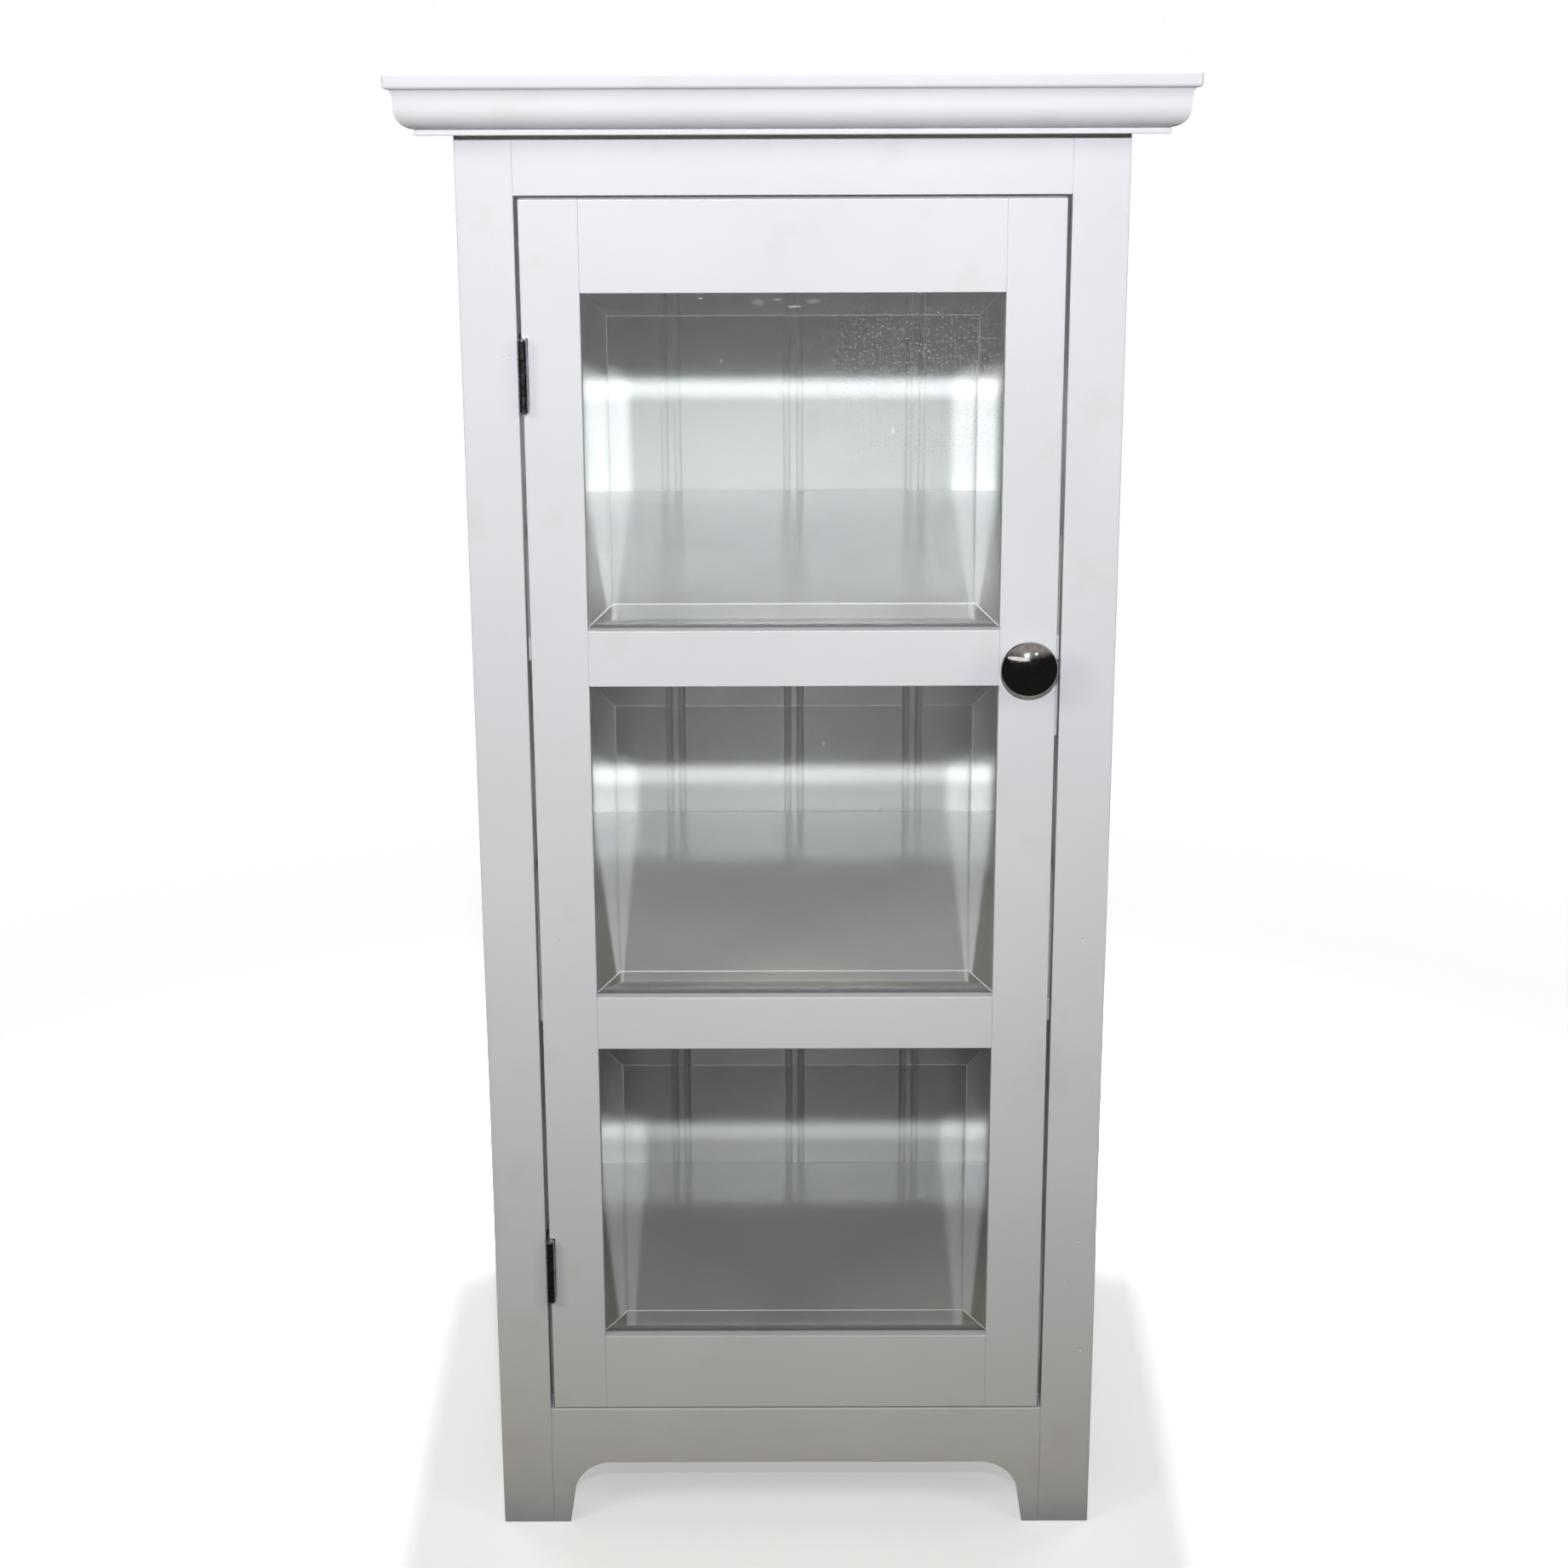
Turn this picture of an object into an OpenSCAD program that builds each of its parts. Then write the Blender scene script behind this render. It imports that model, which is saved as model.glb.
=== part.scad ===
// Glazed apothecary cabinet: a painted face-frame case on four feet, a moulded top, and one
// inset door with three bevelled panes in front of two shelves.
// The front faces -Y and +Z is up. The origin is on the floor, below the centre of the top board.
// All sizes are in millimetres.

/* [Case] */
// Width of the case across its side panels
case_w = 460; // [430:1:520]
// Depth of the case from the face frame's front to the back
case_d = 431; // [360:1:460]
// Thickness of the face frame
face_t = 20; // [20:0.5:24]
// Width of a face frame stile
face_stile_w = 39; // [34:1:46]
// Height of the face frame's top rail
top_rail_h = 45; // [40:1:60]
// Height of the apron rail between its arch and the door opening
apron_h = 48; // [44:1:60]
// Height of the arch under the apron
leg_clear = 54; // [46:1:80]
// Width of the apron's foot beside the stile, at the floor
foot_w = 13; // [10:0.5:20]
// Radius of the arch's corners
arch_r = 30; // [20:1:36]
// How far the arch narrows from the floor up to its corners
arch_splay = 3.5; // [0:0.5:5]
// Thickness of a side panel
side_t = 16; // [15:0.5:19]
// Thickness of the floor, shelf and case top panels
panel_t = 18; // [16:0.5:20]
// Thickness of the beadboard back
back_t = 6; // [5:0.5:8]
// How far the back is set in from the side panels' rear edges
back_set = 2; // [2:0.5:4]

/* [Door] */
// Thickness of the door
door_t = 20; // [20:0.5:22]
// Width of a door stile
door_stile_w = 41; // [38:1:50]
// Height of the door's top rail
door_top_rail_h = 65; // [60:1:80]
// Height of a door mid rail
door_mid_rail_h = 42; // [42:1:60]
// Height of the door's bottom rail
door_bottom_rail_h = 63; // [60:1:80]
// Height of one glazed opening
lite_h = 244; // [220:1:270]
// Gap beside the door, on each side
side_gap = 3; // [3:0.1:4]
// Gap above the door
top_gap = 2.5; // [2:0.1:4]
// Gap below the door
bottom_gap = 1.5; // [1.5:0.1:4]

/* [Glazing] */
// How far the glass reaches behind the frame
rabbet_w = 8; // [6:0.5:8]
// Thickness of the frame in front of the glass
front_lip = 9; // [7:0.5:9]
// Thickness of the glass at its middle
glass_t = 5; // [4:0.5:5]
// Thickness of the glass at its edge
glass_edge_t = 3; // [1.5:0.5:3]
// Width of the bevel round each pane
bevel_w = 25; // [15:1:30]

/* [Top] */
// How far the top board stands out past the case
board_overhang = 42; // [40:1:60]
// Thickness of the top board
board_t = 11; // [10:0.5:20]
// Height of the moulding under the board
moulding_h = 29; // [26:1:40]
// How far the moulding's upright face stands out past the case
moulding_face = 36; // [30:1:38]
// Radius of the moulding's rounded lower edge
moulding_r = 16; // [8:0.5:18]
// How far the base panel under the moulding stands out past the case
base_overhang = 24; // [16:1:26]
// Thickness of the base panel under the moulding
base_t = 4; // [3:0.5:8]

/* [Beadboard] */
// Distance between two pairs of grooves
groove_pitch = 101; // [80:1:101]
// Width of one groove
groove_w = 6; // [4:0.5:7]
// Depth of one groove
groove_depth = 1.5; // [1:0.1:2]
// Width of the bead between the two grooves of a pair
bead_w = 4.7; // [3:0.1:6]

/* [Hinges] */
// Height of a hinge
hinge_h = 51; // [45:1:60]
// Diameter of the hinge's barrel
barrel_d = 7; // [6.5:0.5:7.5]
// Thickness of a hinge leaf
leaf_t = 1.5; // [1.2:0.1:1.6]
// Diameter of the hinge pin
hinge_pin_d = 3; // [2.5:0.1:3.5]
// Distance from the door's end to a hinge's middle
hinge_inset = 122; // [80:1:160]

/* [Knob] */
// Diameter of the knob
knob_d = 41; // [30:1:42]
// How far the knob stands out from the door
knob_reach = 26.5; // [24:0.5:34]

/* [Hidden] */
$fn = 64;

// Colours
paint = [0.93, 0.93, 0.95];
raw_wood = [0.80, 0.66, 0.47];
glass_tint = [0.78, 0.86, 0.82, 0.35];
aged_steel = [0.22, 0.20, 0.18];
bright_steel = [0.70, 0.71, 0.72];
dark_nickel = [0.20, 0.19, 0.18];
catch_plastic = [0.45, 0.30, 0.18];
ferrite = [0.12, 0.12, 0.13];

// Clearances
over = 1;             // how far a cutting shape runs past the face it cuts
dowel_slack = 0.1;    // between a dowel and its bore, on the radius
screw_slack = 0.1;    // between a screw and its hole, on the radius
pin_slack = 0.05;     // between the hinge pin and a knuckle, on the radius
part_gap = 0.4;       // between two parts that move past each other
bead_gap = 0.2;       // between two glazing beads where they meet
magnet_gap = 0.2;     // round the catch's magnet and plates
mortise_gap = 0.2;    // round a hinge leaf in its mortise
glass_play = 1;       // between a pane and the rebate it sits in
knob_hole_slack = 0.25; // between the knob's screw and the stile, on the radius
hole_play = 1;        // between the end of a dowel or screw and its blind hole
shelf_gap = 1;        // between a shelf and the walls round it

// Main levels and planes
top_w = case_w + 2 * board_overhang;
top_d = case_d + board_overhang;
back_y = top_d / 2;
face_y = back_y - case_d;
inner_y = face_y + face_t;
back_front_y = back_y - back_set - back_t;
side_x = case_w / 2;
inner_x = side_x - side_t;
open_x = side_x - face_stile_w;
door_x = open_x - side_gap;
lite_x = door_x - door_stile_w;
apron_z = leg_clear + apron_h;
door_z0 = apron_z + bottom_gap;
lite_count = 3;
door_h = door_bottom_rail_h + lite_count * lite_h + (lite_count - 1) * door_mid_rail_h
    + door_top_rail_h;
door_z1 = door_z0 + door_h;
rail_z = door_z1 + top_gap;
case_h = rail_z + top_rail_h;
moulding_z = case_h + base_t;
board_z = moulding_z + moulding_h;
function lite_z(i) = door_z0 + door_bottom_rail_h + i * (lite_h + door_mid_rail_h);
function mid_rail_z(i) = lite_z(i) + lite_h + door_mid_rail_h / 2;

// Joinery
dowel_d = 8;
dowel_l = 30;
dowel_deep = dowel_l / 2 + hole_play;
frame_dowel_spread = 12;
wide_rail_spread = 18;
mid_rail_spread = 7.5;
door_dowels_at = [[door_z0 + door_bottom_rail_h / 2, wide_rail_spread],
                  [mid_rail_z(0), mid_rail_spread],
                  [mid_rail_z(1), mid_rail_spread],
                  [door_z1 - door_top_rail_h / 2, wide_rail_spread]];
frame_dowels_at = [[leg_clear + apron_h / 2, frame_dowel_spread],
                   [rail_z + top_rail_h / 2, frame_dowel_spread]];

// Case inside
back_rabbet_w = 8;
floor_z = apron_z + bottom_gap - part_gap;
rear_rail_t = 18;
foot_block_w = 22;
foot_block_z = 2;
front_foot_d = 33;
rear_foot_d = 53;
shelf_setback = 4;
shelf_y0 = face_y + door_t + shelf_setback;
shelf_pin_d = 5;
shelf_pin_in = 9;
shelf_pin_out = 8;
shelf_pin_setback = 40;
collar_d = 9;
collar_t = 0.8;

// Moulding and top board
moulding_back = 12;
cove_r = 20;
cove_h = 9;
cove_out = cove_r - sqrt(cove_r * cove_r - cove_h * cove_h);
board_top_r = 1.5;
board_bottom_r = 3;
batten_w = 40;
batten_x = 150;
back_batten_t = 18;
cornice_screw_l = 42;
cornice_screw_d = 4;
cornice_screw_inset = 60;
cornice_screws_y = [face_y + cornice_screw_inset, (face_y + back_y) / 2, back_y - cornice_screw_inset];

// Screw heads
head_taper = 0.8;     // width of a pan head's top, as a share of its widest part
recess_reach = 0.6;   // length of a head's cross recess, as a share of the head's width
recess_width = 1 / 7; // width of the recess, as a share of the head's width

// Back panel screws
back_screw_d = 3;
back_screw_head_t = 1.6;
back_screw_l = 18;
back_screw_rows = 5;
back_screw_x = inner_x + back_rabbet_w / 2;
back_screw_z0 = 90;
back_screw_step = (case_h - 2 * back_screw_z0) / (back_screw_rows - 1);

// Hinges: the frame leaf lies on the stile's edge and the door leaf in a mortise
barrel_r = barrel_d / 2;
hinge_x = -open_x + barrel_r;
hinge_y = face_y - barrel_r - part_gap;
leaf_front = 0.3;
leaf_back = 17;
leaf_y0 = face_y + leaf_front;
leaf_y1 = face_y + leaf_back;
leaf_in = barrel_r - leaf_t;
hinge_z = [door_z1 - hinge_inset, door_z0 + hinge_inset];
knuckles = 4;
knuckle_h = hinge_h / knuckles;
hinge_screw_d = 2.6;
hinge_screw_head_d = 5.4;
hinge_screw_l = 14;
hinge_screw_step = 17;
hinge_screw_front = 6.5;
hinge_screw_back = 11;
hinge_screw_y = [face_y + hinge_screw_back, face_y + hinge_screw_front, face_y + hinge_screw_back];
pin_head_d = 5;
pin_head_h = 0.8;

// Knob and its screw
knob_x = (lite_x + door_x) / 2;
knob_drop = 2.5;        // below the middle of the rail
knob_z = mid_rail_z(1) - knob_drop;
knob_base_r = 9;
knob_base_t = 2;
knob_neck_r = 6.5;
knob_rim_r = 3;
knob_dome_h = 7;
knob_bore_d = 4;
knob_bore_l = 12;
knob_screw_head_t = 2.4;

// Magnetic catch, behind the door stile and below the upper shelf
catch_below_knob = 39.5;
catch_beside_knob = 11;
catch_w = 14;
catch_h = 46;
catch_d = 14;
catch_block_h = 50;
catch_block_d = 20;
catch_wall = 2;
catch_x = knob_x + catch_beside_knob;
catch_x0 = catch_x - catch_w / 2;
catch_x1 = catch_x + catch_w / 2;
catch_z = knob_z - catch_below_knob;
strike_t = 1.2;
strike_h = 34;
pole_proud = 1;
pole_t = 1.5;
magnet_w = 6;
magnet_h = 22;
catch_y0 = face_y + door_t + strike_t + part_gap;
catch_screw_l = 24;
catch_screw_z = 18;
catch_screw_d = 3;

// A box between two limits on each axis
module slab(x, y, z) {
    translate([x[0], y[0], z[0]]) cube([x[1] - x[0], y[1] - y[0], z[1] - z[0]]);
}

// The cross recess in a screw's head, cut upwards from z = 0
module cross_recess(head_d, deep) {
    length = head_d * recess_reach;
    width = head_d * recess_width;
    for (turn = [0, 90])
        rotate(turn)
            translate([-length / 2, -width / 2, -over])
                cube([length, width, deep + over]);
}

// A countersunk screw along +Z, its flat head at z = 0
module countersunk_screw(d, head_d, length) {
    difference() {
        union() {
            cylinder(h = (head_d - d) / 2, d1 = head_d, d2 = d);
            cylinder(h = length, d = d);
        }
        cross_recess(head_d, (head_d - d) / 4);
    }
}

// A pan-head screw along +Z, its head below z = 0
module pan_head_screw(d, head_t, length) {
    cylinder(h = length, d = d);
    translate([0, 0, -head_t])
        difference() {
            cylinder(h = head_t, d1 = 2 * d * head_taper, d2 = 2 * d);
            cross_recess(2 * d, head_t / 2);
        }
}

// The hole that a countersunk screw sits in, open past its head
module countersunk_hole(d, head_d, length) {
    hole_d = d + 2 * screw_slack;
    sink_d = head_d + 2 * screw_slack;
    cylinder(h = (sink_d - hole_d) / 2, d1 = sink_d, d2 = hole_d);
    cylinder(h = length + over, d = hole_d);
    translate([0, 0, -over]) cylinder(h = over, d = sink_d);
}

// The outline of an arched cut: w wide at the floor, h high
module arch_outline(w, h) {
    half_w = w / 2 - arch_splay;
    polygon([[-w / 2, -over], [w / 2, -over], [half_w, h - arch_r], [-half_w, h - arch_r]]);
    for (side = [-1, 1])
        translate([side * (half_w - arch_r), h - arch_r]) circle(arch_r);
    translate([arch_r - half_w, 0]) square([2 * (half_w - arch_r), h]);
}

// A horizontal row of dowel positions: two at each [height, spread], on both sides of the frame
module at_dowels(list, x, y) {
    for (joint = list, side = [-1, 1], row = [-1, 1])
        translate([side * x, y, joint[0] + row * joint[1]])
            rotate([0, 90, 0])
                children();
}

module dowel() {
    cylinder(h = dowel_l, d = dowel_d, center = true);
}

module dowel_bore() {
    cylinder(h = 2 * dowel_deep, d = dowel_d + 2 * dowel_slack, center = true);
}

// ---- face frame ----

module face_stile(side) {
    color(paint)
        difference() {
            slab(side > 0 ? [open_x, side_x] : [-side_x, -open_x], [face_y, inner_y], [0, case_h]);
            at_dowels(frame_dowels_at, open_x, face_y + face_t / 2) dowel_bore();
            if (side < 0)
                at_hinge_screws(hinge_x - leaf_in, -90)
                    countersunk_hole(hinge_screw_d, hinge_screw_head_d, hinge_screw_l);
        }
}

module top_face_rail() {
    color(paint)
        difference() {
            slab([-open_x, open_x], [face_y, inner_y], [rail_z, case_h]);
            at_dowels(frame_dowels_at, open_x, face_y + face_t / 2) dowel_bore();
        }
}

module apron_rail() {
    arch_w = 2 * (open_x - foot_w);
    color(paint)
        difference() {
            slab([-open_x, open_x], [face_y, inner_y], [0, apron_z]);
            translate([0, inner_y + over, 0])
                rotate([90, 0, 0])
                    linear_extrude(face_t + 2 * over)
                        arch_outline(arch_w, leg_clear);
            at_dowels(frame_dowels_at, open_x, face_y + face_t / 2) dowel_bore();
        }
}

module face_frame_dowels() {
    color(raw_wood)
        at_dowels(frame_dowels_at, open_x, face_y + face_t / 2) dowel();
}

// ---- case ----

// Both ends and both heights of the pins under the two shelves
module at_shelf_pins(side) {
    for (level = [0, 1], y = [shelf_y0 + shelf_pin_setback, back_front_y - shelf_pin_setback])
        translate([side * inner_x, y, mid_rail_z(level) - panel_t / 2 - shelf_pin_d / 2])
            rotate([0, side * 90, 0])
                children();
}

module at_back_screws(side) {
    for (row = [0 : back_screw_rows - 1])
        translate([side * back_screw_x, back_y - back_set, back_screw_z0 + row * back_screw_step])
            rotate([90, 0, 0])
                children();
}

module side_panel(side) {
    arch_y0 = inner_y + front_foot_d;
    arch_y1 = back_y - rear_foot_d;
    color(paint)
        difference() {
            slab(side > 0 ? [inner_x, side_x] : [-side_x, -inner_x], [inner_y, back_y], [0, case_h]);
            translate([-side_x - over, (arch_y0 + arch_y1) / 2, 0])
                rotate([90, 0, 90])
                    linear_extrude(case_w + 2 * over)
                        arch_outline(arch_y1 - arch_y0, leg_clear);
            slab([-inner_x - back_rabbet_w, inner_x + back_rabbet_w], [back_front_y, back_y + over],
                 [leg_clear, case_h + over]);
            at_shelf_pins(side)
                cylinder(h = 2 * (shelf_pin_in + over), d = shelf_pin_d + 2 * screw_slack, center = true);
            at_back_screws(side)
                cylinder(h = back_screw_l + over, d = back_screw_d + 2 * screw_slack);
        }
}

module floor_panel() {
    color(paint)
        slab([-inner_x, inner_x], [inner_y, back_front_y], [floor_z - panel_t, floor_z]);
}

module case_top_panel() {
    color(paint)
        difference() {
            slab([-inner_x, inner_x], [inner_y, back_front_y], [case_h - panel_t, case_h]);
            at_cornice_screws() countersunk_hole(cornice_screw_d, 2 * cornice_screw_d, cornice_screw_l);
        }
}

module rear_rail() {
    color(paint)
        slab([-inner_x, inner_x], [back_front_y - rear_rail_t, back_front_y],
             [leg_clear, floor_z - panel_t]);
}

module beadboard_back() {
    groove_r = (groove_w * groove_w / 4 + groove_depth * groove_depth) / (2 * groove_depth);
    groove_x = (groove_w + bead_w) / 2;
    panel_x = inner_x + back_rabbet_w - shelf_gap / 2;
    color(paint)
        difference() {
            slab([-panel_x, panel_x], [back_front_y, back_y - back_set], [leg_clear, case_h]);
            for (pair = [-2 : 2], side = [-1, 1])
                translate([pair * groove_pitch + side * groove_x,
                           back_front_y - groove_r + groove_depth, leg_clear - over])
                    cylinder(h = case_h, r = groove_r);
            for (side = [-1, 1])
                at_back_screws(side)
                    cylinder(h = 2 * back_t + over, d = back_screw_d + 2 * screw_slack, center = true);
        }
}

// The screws that hold the back in its rabbet
module back_panel_screws() {
    color(bright_steel)
        for (side = [-1, 1])
            at_back_screws(side)
                pan_head_screw(back_screw_d, back_screw_head_t, back_screw_l);
}

// Glue blocks in the four inside corners below the floor
module foot_blocks() {
    color(raw_wood)
        for (side = [-1, 1], y = [inner_y, back_front_y - rear_rail_t - foot_block_w])
            translate([side * (inner_x - foot_block_w / 2) - foot_block_w / 2, y, foot_block_z])
                cube([foot_block_w, foot_block_w, floor_z - panel_t - foot_block_z]);
}

module shelf(level) {
    z = mid_rail_z(level) - panel_t / 2;
    color(paint)
        slab([shelf_gap - inner_x, inner_x - shelf_gap], [shelf_y0, back_front_y - shelf_gap],
             [z, z + panel_t]);
}

module shelf_pins() {
    color(bright_steel)
        for (side = [-1, 1])
            at_shelf_pins(side) {
                translate([0, 0, -shelf_pin_out])
                    cylinder(h = shelf_pin_in + shelf_pin_out, d = shelf_pin_d);
                translate([0, 0, -collar_t]) cylinder(h = collar_t, d = collar_d);
            }
}

// ---- moulded top ----

module at_cornice_screws() {
    for (side = [-1, 1], y = cornice_screws_y)
        translate([side * batten_x, y, case_h - panel_t])
            children();
}

module cornice_screw_shafts() {
    at_cornice_screws() cylinder(h = cornice_screw_l + over, d = cornice_screw_d + 2 * screw_slack);
}

module cornice_base_panel() {
    x = side_x + base_overhang;
    color(paint)
        difference() {
            slab([-x, x], [face_y - base_overhang, back_y], [case_h, moulding_z]);
            cornice_screw_shafts();
        }
}

// Section of the moulding: x is the distance out from the case, y the height
module moulding_section() {
    round_x = moulding_face - moulding_r;
    difference() {
        union() {
            translate([moulding_back, 0]) square([round_x - moulding_back, moulding_h]);
            translate([round_x, moulding_r]) square([moulding_r, moulding_h - moulding_r]);
            intersection() {
                translate([round_x, moulding_r]) circle(moulding_r);
                translate([moulding_back, 0]) square([moulding_face - moulding_back, moulding_h]);
            }
            translate([moulding_face, moulding_h - cove_h]) square([cove_out, cove_h]);
        }
        translate([moulding_face + cove_r, moulding_h - cove_h]) circle(cove_r);
    }
}

module moulding_run(length) {
    linear_extrude(length, center = true) moulding_section();
}

module cornice_front_moulding() {
    reach = board_overhang + over;
    color(paint)
        intersection() {
            translate([0, face_y, moulding_z]) rotate([90, 0, -90]) moulding_run(top_w);
            translate([0, 0, moulding_z])
                linear_extrude(moulding_h)
                    polygon([[-side_x, face_y], [side_x, face_y],
                             [side_x + reach, face_y - reach], [-side_x - reach, face_y - reach]]);
        }
}

module cornice_side_moulding(side) {
    reach = board_overhang + over;
    color(paint)
        intersection() {
            translate([side * side_x, 0, moulding_z])
                rotate([90, 0, side > 0 ? 0 : 180])
                    moulding_run(top_d);
            translate([0, 0, moulding_z])
                linear_extrude(moulding_h)
                    polygon([[side * side_x, face_y], [side * (side_x + reach), face_y - reach],
                             [side * (side_x + reach), back_y], [side * side_x, back_y]]);
        }
}

module cornice_back_batten() {
    x = side_x + moulding_back;
    color(raw_wood)
        slab([-x, x], [back_y - back_batten_t, back_y], [moulding_z, board_z]);
}

module cornice_battens() {
    color(raw_wood)
        difference() {
            for (side = [-1, 1])
                translate([side * batten_x - batten_w / 2, face_y - moulding_back, moulding_z])
                    cube([batten_w, case_d + moulding_back - back_batten_t, moulding_h]);
            cornice_screw_shafts();
        }
}

module cornice_screws() {
    color(bright_steel)
        at_cornice_screws() countersunk_screw(cornice_screw_d, 2 * cornice_screw_d, cornice_screw_l);
}

// Section across a board's edge: x runs out to the rounded edge at reach
module board_section(reach) {
    square([reach - board_bottom_r, board_t - board_top_r]);
    translate([0, board_bottom_r]) square([reach, board_t - board_bottom_r - board_top_r]);
    translate([0, board_t / 2]) square([reach - board_top_r, board_t / 2]);
    translate([reach - board_bottom_r, board_bottom_r]) circle(board_bottom_r);
    translate([reach - board_top_r, board_t - board_top_r]) circle(board_top_r);
}

module top_board() {
    color(paint)
        intersection() {
            translate([0, back_y, board_z])
                rotate([90, 0, -90])
                    linear_extrude(top_w, center = true)
                        board_section(top_d);
            translate([0, 0, board_z])
                rotate([90, 0, 0])
                    linear_extrude(top_d, center = true) {
                        board_section(top_w / 2);
                        mirror([1, 0]) board_section(top_w / 2);
                    }
        }
}

// ---- hinges ----

// Three staggered screws a leaf, from the plane x in the direction that turn gives
module at_hinge_screws(x, turn) {
    for (z = hinge_z, row = [0 : 2])
        translate([x, hinge_screw_y[row], z + (row - 1) * hinge_screw_step])
            rotate([0, turn, 0])
                children();
}

// One leaf: its plate, and the knuckles that start at first and skip every other one
module hinge_leaf(z, side, first) {
    plate_x = side > 0
        ? [hinge_x + leaf_in, hinge_x + barrel_r]
        : [hinge_x - barrel_r, hinge_x - leaf_in];
    color(aged_steel)
        difference() {
            union() {
                slab(plate_x, [leaf_y0, leaf_y1], [z - hinge_h / 2, z + hinge_h / 2]);
                for (k = [first : 2 : knuckles - 1]) {
                    z0 = z - hinge_h / 2 + k * knuckle_h + part_gap / 2;
                    z1 = z0 + knuckle_h - part_gap;
                    slab(plate_x, [hinge_y, leaf_y0 + over], [z0, z1]);
                    translate([hinge_x, hinge_y, z0]) cylinder(h = z1 - z0, r = barrel_r);
                }
            }
            translate([hinge_x, hinge_y, z - hinge_h])
                cylinder(h = 2 * hinge_h, d = hinge_pin_d + 2 * pin_slack);
            at_hinge_screws(hinge_x + side * leaf_in, side * 90)
                countersunk_hole(hinge_screw_d, hinge_screw_head_d, hinge_screw_l);
        }
}

// The pin stays with the frame leaf: its upper head rests on that leaf's top knuckle
module hinge_pin(z) {
    top = hinge_h / 2 - part_gap / 2;
    color(aged_steel)
        translate([hinge_x, hinge_y, z]) {
            translate([0, 0, -top - part_gap])
                cylinder(h = 2 * top + part_gap + pin_head_h, d = hinge_pin_d);
            translate([0, 0, top]) cylinder(h = pin_head_h, d = pin_head_d);
            translate([0, 0, -top - part_gap - pin_head_h]) cylinder(h = pin_head_h, d = pin_head_d);
        }
}

module hinge_screws(side) {
    color(aged_steel)
        at_hinge_screws(hinge_x + side * leaf_in, side * 90)
            countersunk_screw(hinge_screw_d, hinge_screw_head_d, hinge_screw_l);
}

// ---- magnetic catch ----

module at_catch_screws() {
    for (row = [-1, 1])
        translate([catch_x0, catch_y0 + catch_d / 2 + pole_proud, catch_z + row * catch_screw_z])
            rotate([0, 90, 0])
                children();
}

module catch_block() {
    y0 = shelf_y0;
    color(paint)
        difference() {
            slab([catch_x1, inner_x], [y0, y0 + catch_block_d],
                 [catch_z - catch_block_h / 2, catch_z + catch_block_h / 2]);
            at_catch_screws() cylinder(h = catch_screw_l + over, d = catch_screw_d + 2 * screw_slack);
        }
}

module catch_housing() {
    pocket_w = magnet_w + 2 * pole_t + 2 * magnet_gap;
    y0 = catch_y0 + pole_proud;
    color(catch_plastic)
        difference() {
            slab([catch_x0, catch_x1], [y0, y0 + catch_d],
                 [catch_z - catch_h / 2, catch_z + catch_h / 2]);
            slab([catch_x - pocket_w / 2, catch_x + pocket_w / 2], [y0 - over, y0 + catch_d - catch_wall],
                 [catch_z - magnet_h / 2 - magnet_gap, catch_z + magnet_h / 2 + magnet_gap]);
            at_catch_screws() countersunk_hole(catch_screw_d, 2 * catch_screw_d, catch_screw_l);
        }
}

module catch_magnet() {
    y0 = catch_y0 + 2 * pole_proud;
    color(ferrite)
        slab([catch_x - magnet_w / 2, catch_x + magnet_w / 2], [y0, catch_y0 + catch_d - 2 * pole_proud],
             [catch_z - magnet_h / 2, catch_z + magnet_h / 2]);
}

module catch_pole_plates() {
    color(bright_steel)
        for (side = [-1, 1])
            translate([catch_x + side * (magnet_w + pole_t) / 2 - pole_t / 2, catch_y0,
                       catch_z - magnet_h / 2])
                cube([pole_t, catch_d - 2 * pole_proud, magnet_h]);
}

module catch_screws() {
    color(bright_steel)
        at_catch_screws() countersunk_screw(catch_screw_d, 2 * catch_screw_d, catch_screw_l);
}

module at_strike_screw() {
    translate([catch_x, face_y + door_t + strike_t, catch_z])
        rotate([90, 0, 0])
            children();
}

module strike_plate() {
    y0 = face_y + door_t;
    color(bright_steel)
        difference() {
            slab([catch_x0, catch_x1], [y0, y0 + strike_t],
                 [catch_z - strike_h / 2, catch_z + strike_h / 2]);
            at_strike_screw() countersunk_hole(hinge_screw_d, hinge_screw_head_d, hinge_screw_l);
        }
}

module strike_screw() {
    color(bright_steel)
        at_strike_screw() countersunk_screw(hinge_screw_d, hinge_screw_head_d, hinge_screw_l);
}

// ---- door ----

// The pockets that hold the panes and their beads, cut from the back of the door
module glass_pockets() {
    x = lite_x + rabbet_w;
    for (i = [0 : lite_count - 1])
        slab([-x, x], [face_y + front_lip, face_y + door_t + over],
             [lite_z(i) - rabbet_w, lite_z(i) + lite_h + rabbet_w]);
}

// What is cut from every member of the door's frame
module door_cuts() {
    glass_pockets();
    at_dowels(door_dowels_at, lite_x, face_y + door_t / 2) dowel_bore();
}

module hinge_mortises() {
    for (z = hinge_z)
        slab([-door_x - over, hinge_x + barrel_r], [face_y - over, leaf_y1 + mortise_gap],
             [z - hinge_h / 2 - mortise_gap, z + hinge_h / 2 + mortise_gap]);
}

module knob_screw_hole() {
    translate([knob_x, face_y - over, knob_z])
        rotate([-90, 0, 0])
            cylinder(h = door_t + 2 * over, d = knob_bore_d + 2 * knob_hole_slack);
}

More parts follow.
